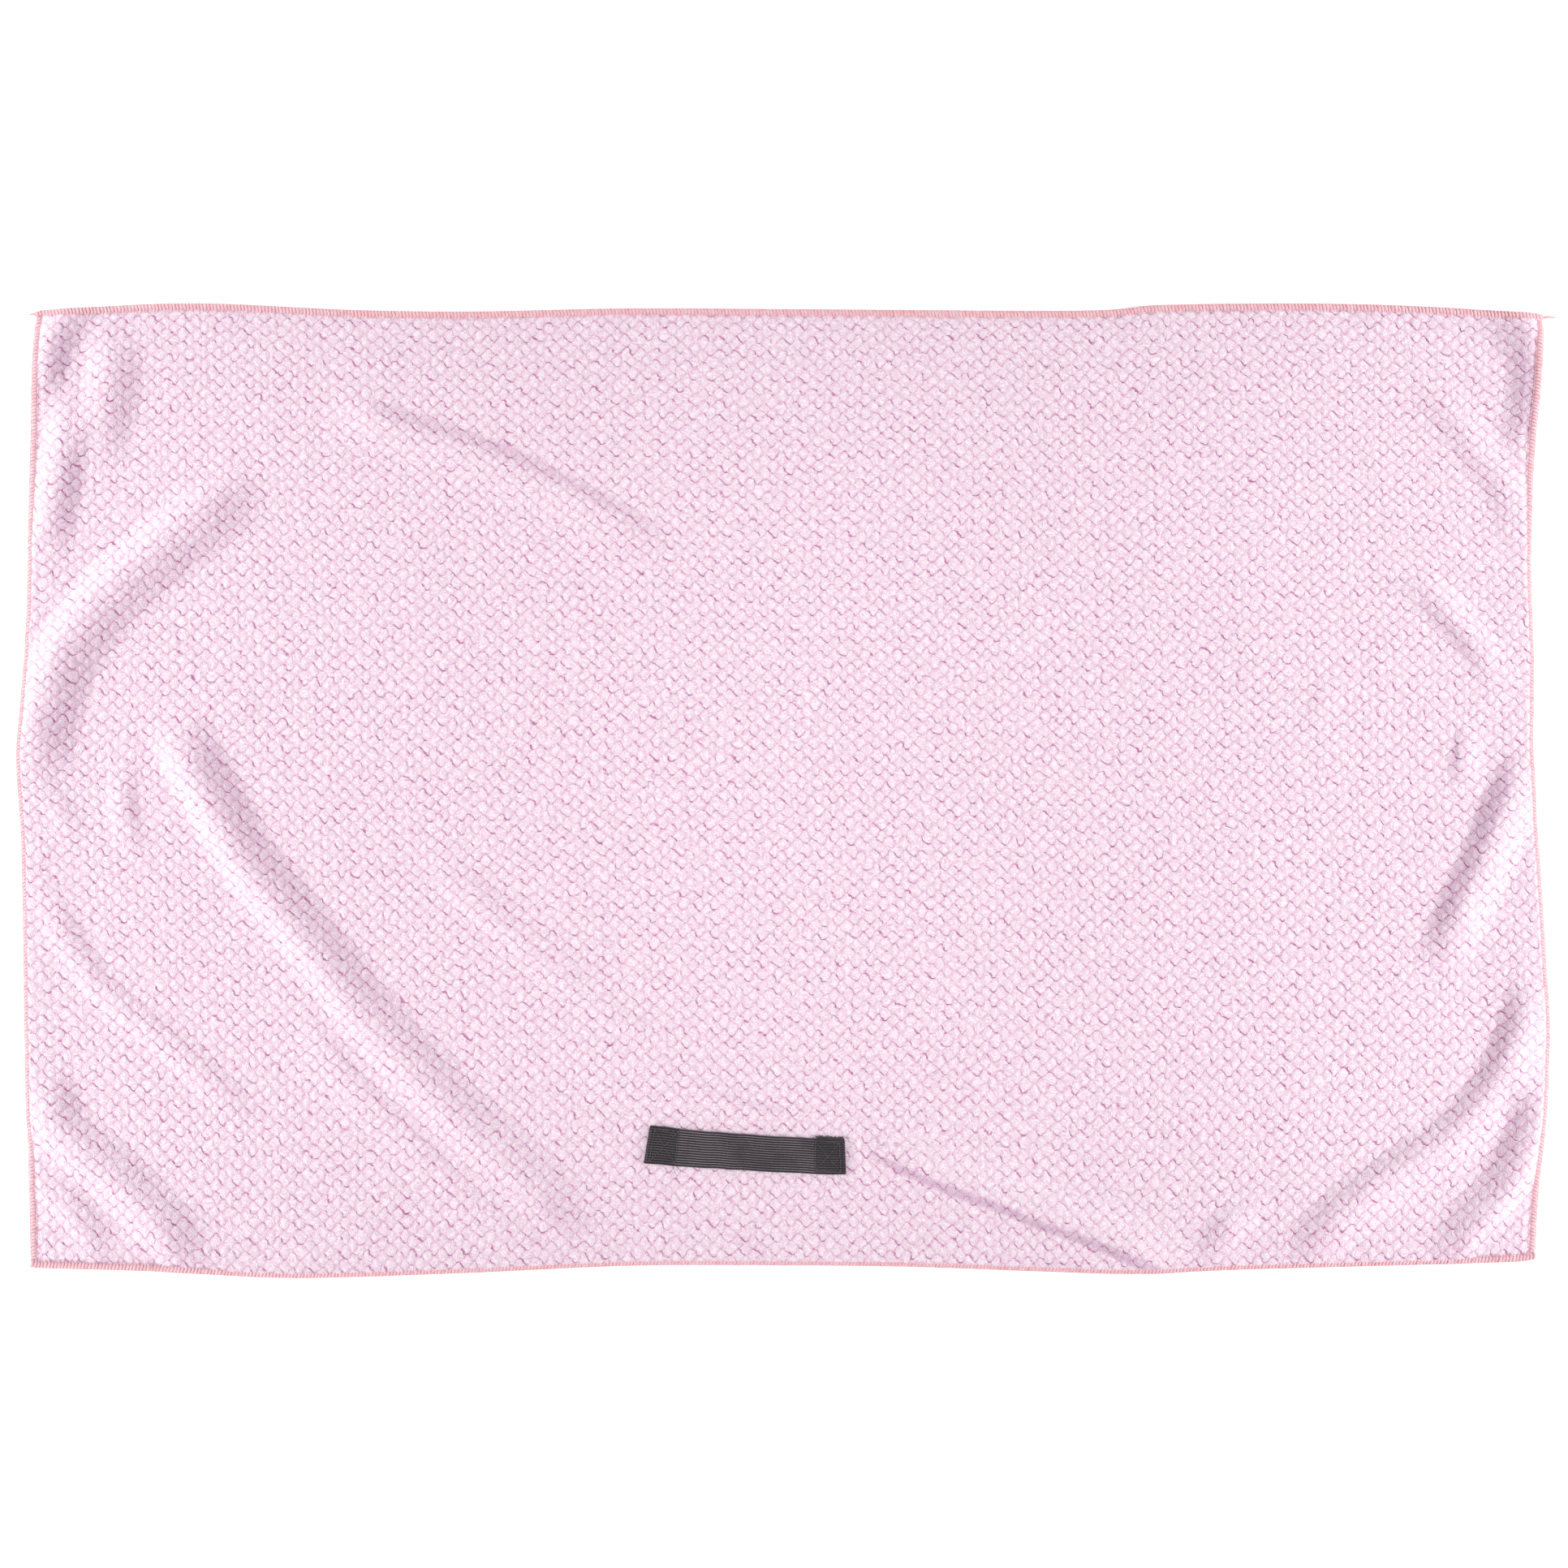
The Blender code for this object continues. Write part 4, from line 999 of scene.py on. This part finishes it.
def build_fray(finish):
    """Cut threads of the right hem's raw end, and a few at the left one."""
    rng = np.random.default_rng(61)
    end = STRAP_LENGTH / 2
    strands = 260
    at = end - 0.0010 - rng.uniform(0, 0.0200, strands)
    base = strap_half_width(at) - 0.0005
    length = rng.uniform(0.0006, 0.0026, strands) * (0.6 + 0.5 * np.sin(at * 900.0) ** 2)
    steps = np.linspace(0, 1, 5)
    lean = rng.normal(0.1, 0.6, strands)
    curl = rng.normal(0, 0.9, strands)
    height = rng.uniform(LOWER_PLY_Z, UPPER_PLY_Z + 0.0006, strands)
    lift = rng.uniform(-0.2, 0.5, strands)
    x = at[:, None] + (lean[:, None] * steps + curl[:, None] * steps**2 * 0.6) * length[:, None]
    y = base[:, None] + steps * length[:, None]
    z = height[:, None] + lift[:, None] * steps * length[:, None]
    paths = to_world(np.stack([x, y, z], axis=-1))
    width = rng.uniform(0.00010, 0.00020, strands)[:, None] * (1 - 0.5 * steps)
    parts = [tubes(paths, (0.0, 0.0, 1.0), width, width, 4)]

    corners = 90
    side = rng.choice([-1, 1], corners)
    y = rng.uniform(-1, 1, corners) * STRAP_WIDTH / 2
    x = side * (end - 0.0004)
    length = rng.uniform(0.0004, 0.0012, corners)
    heading = np.stack([side * 1.0, rng.normal(0, 0.7, corners), rng.normal(0, 0.4, corners)], axis=-1)
    root = np.stack([x, y, rng.uniform(LOWER_PLY_Z, STRAP_TOP_Z - 0.0004, corners)], axis=-1)
    paths = to_world(root[:, None] + heading[:, None] * (steps[:, None] * length[:, None, None]))
    parts.append(tubes(paths, (0.0, 0.0, 1.0), 0.00010 * (1 - 0.6 * steps), 0.00010 * (1 - 0.6 * steps), 4))
    return quad_object("strap_fray", *join(parts), finish)


def build_loose_thread(finish):
    start_x = -STRAP_LENGTH / 2 + HEM_LENGTH - 0.0025
    edge = -STRAP_WIDTH / 2 * 1.02
    z = BOBBIN_ROOM + CLOTH_THICKNESS + 0.0004
    route = [
        (0.0, 0.0012, 0.0010), (0.0001, -0.0004, 0.0008), (0.0006, -0.0022, 0.0004),
        (0.0014, -0.0042, 0.0003), (0.0027, -0.0062, 0.0002), (0.0044, -0.0078, 0.0005),
    ]
    line = smooth_line([(start_x + dx, edge + dy, z + dz) for dx, dy, dz in route], 6)
    width = 0.00021 * np.linspace(1, 0.6, len(line))
    verts, quads = tubes(to_world(line)[None], (0.0, 0.0, 1.0), width, width, 6)
    return quad_object("strap_loose_thread_end", verts, quads, finish)


# ---- Stage ------------------------------------------------------------------------------------------------


def build_floor():
    corners = [(x * FLOOR_HALF, y * FLOOR_HALF, -FLOOR_DROP) for x, y in ((-1, -1), (1, -1), (1, 1), (-1, 1))]
    floor = quad_object("floor", np.array(corners), np.array([[0, 1, 2, 3]]), floor_finish())


def soft_box(name, away, height, aim, power, spread):
    """A long soft box that runs from front to back, away to one side and aimed at a line on the floor."""
    light = bpy.data.lights.new(name, "AREA")
    light.shape = "RECTANGLE"
    light.size, light.size_y = SOFT_BOX
    light.energy = power
    light.spread = spread
    made = bpy.data.objects.new(name, light)
    made.location = (away, 0, height)
    made.rotation_euler = (0, math.atan2(away - aim, height), 0)
    bpy.context.scene.collection.objects.link(made)


def build_lights():
    """One long soft box each side, which lights its own half of the towel, and one above to even them out."""
    for word, side in (("left", -1), ("right", 1)):
        away, aim = side * SIDE_BOX_AWAY, side * SIDE_BOX_AIM
        soft_box(f"{word}_soft_box", away, SIDE_BOX_HEIGHT, aim, SIDE_POWER, SIDE_SPREAD)
    soft_box("upper_soft_box", 0, UPPER_BOX_HEIGHT, 0, UPPER_POWER, UPPER_SPREAD)
    world = bpy.data.worlds.new("studio")
    world.use_nodes = True
    background = world.node_tree.nodes["Background"]
    background.inputs["Color"].default_value = ROOM_TINT
    background.inputs["Strength"].default_value = ROOM_LIGHT
    bpy.context.scene.world = world


def build_camera():
    lens = bpy.data.cameras.new("camera")
    lens.sensor_width = 36.0
    lens.lens = lens.sensor_width * CAMERA_HEIGHT / VIEW_WIDTH
    lens.clip_start = 0.01
    camera = bpy.data.objects.new("camera", lens)
    camera.location = (*CAMERA_PLACE, CAMERA_HEIGHT)
    bpy.context.scene.collection.objects.link(camera)
    bpy.context.scene.camera = camera


# ---- The whole --------------------------------------------------------------------------------------------


def bend_at_fold(piece):
    """Bakes the piece's placing into its points; the piece is not bent at the fold line."""
    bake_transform(piece)


def build_towel():
    cloth = build_cloth(fleece_finish())
    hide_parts("cloth_main_panel", "cloth_far_third")

    thread = overlock_finish()
    replaced = {
        "near": ["overlock_near_edge"],
        "far": ["overlock_far_edge"],
        "left": ["overlock_left_main", "overlock_left_far"],
        "right": ["overlock_right_main", "overlock_right_far"],
    }
    seams = {which: build_overlock(which, thread) for which in replaced}
    for which, seam in seams.items():
        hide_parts(*replaced[which])
    fibre = fibre_finish()
    fringes = {which: build_fringe(which, fibre) for which in replaced}

    for group in (seams, fringes):
        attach(group["near"], "towel")
        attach(group["far"], "far_third")
        bend_at_fold(group["left"])
        bend_at_fold(group["right"])
    bend_at_fold(cloth)

    for word, sign in (("right", 1), ("left", -1)):
        node = f"thread_tail_far_{word}"
        low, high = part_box(node)
        start = (low[0] if sign > 0 else high[0], (low[1] + high[1]) / 2, (low[2] + high[2]) / 2)
        length = TAIL_LENGTHS[word]
        tail = build_thread_tail(f"overlock_tail_{word}", start, (sign, 0, 0), length, 71 + sign, thread)
        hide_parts(node)
        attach(tail, "far_third")


def build_strap():
    elastic = elastic_finish()
    thread = thread_finish()
    for side, word in ((-1, "left"), (1, "right")):
        band = build_elastic(side, word, elastic)
        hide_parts(f"strap_hem_{word}", "strap_band")
        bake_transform(band)
        upper = build_box_stitch(side, word, STRAP_TOP_Z + 0.0002, "box_stitching", thread)
        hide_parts(f"box_stitch_{word}")
        lower = build_box_stitch(side, word, BOBBIN_ROOM - 0.0003, "bobbin_stitching", thread)
        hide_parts(f"bobbin_stitch_{word}")
        for stitching in (upper, lower):
            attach(stitching, "towel")
    fray = build_fray(thread)
    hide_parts("strap_frayed_edge")
    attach(fray, "towel")
    loose = build_loose_thread(thread)
    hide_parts("strap_loose_thread")
    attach(loose, "towel")


build_camera()
build_towel()
build_strap()
build_floor()
build_lights()
bpy.context.scene.view_settings.view_transform = "Standard"
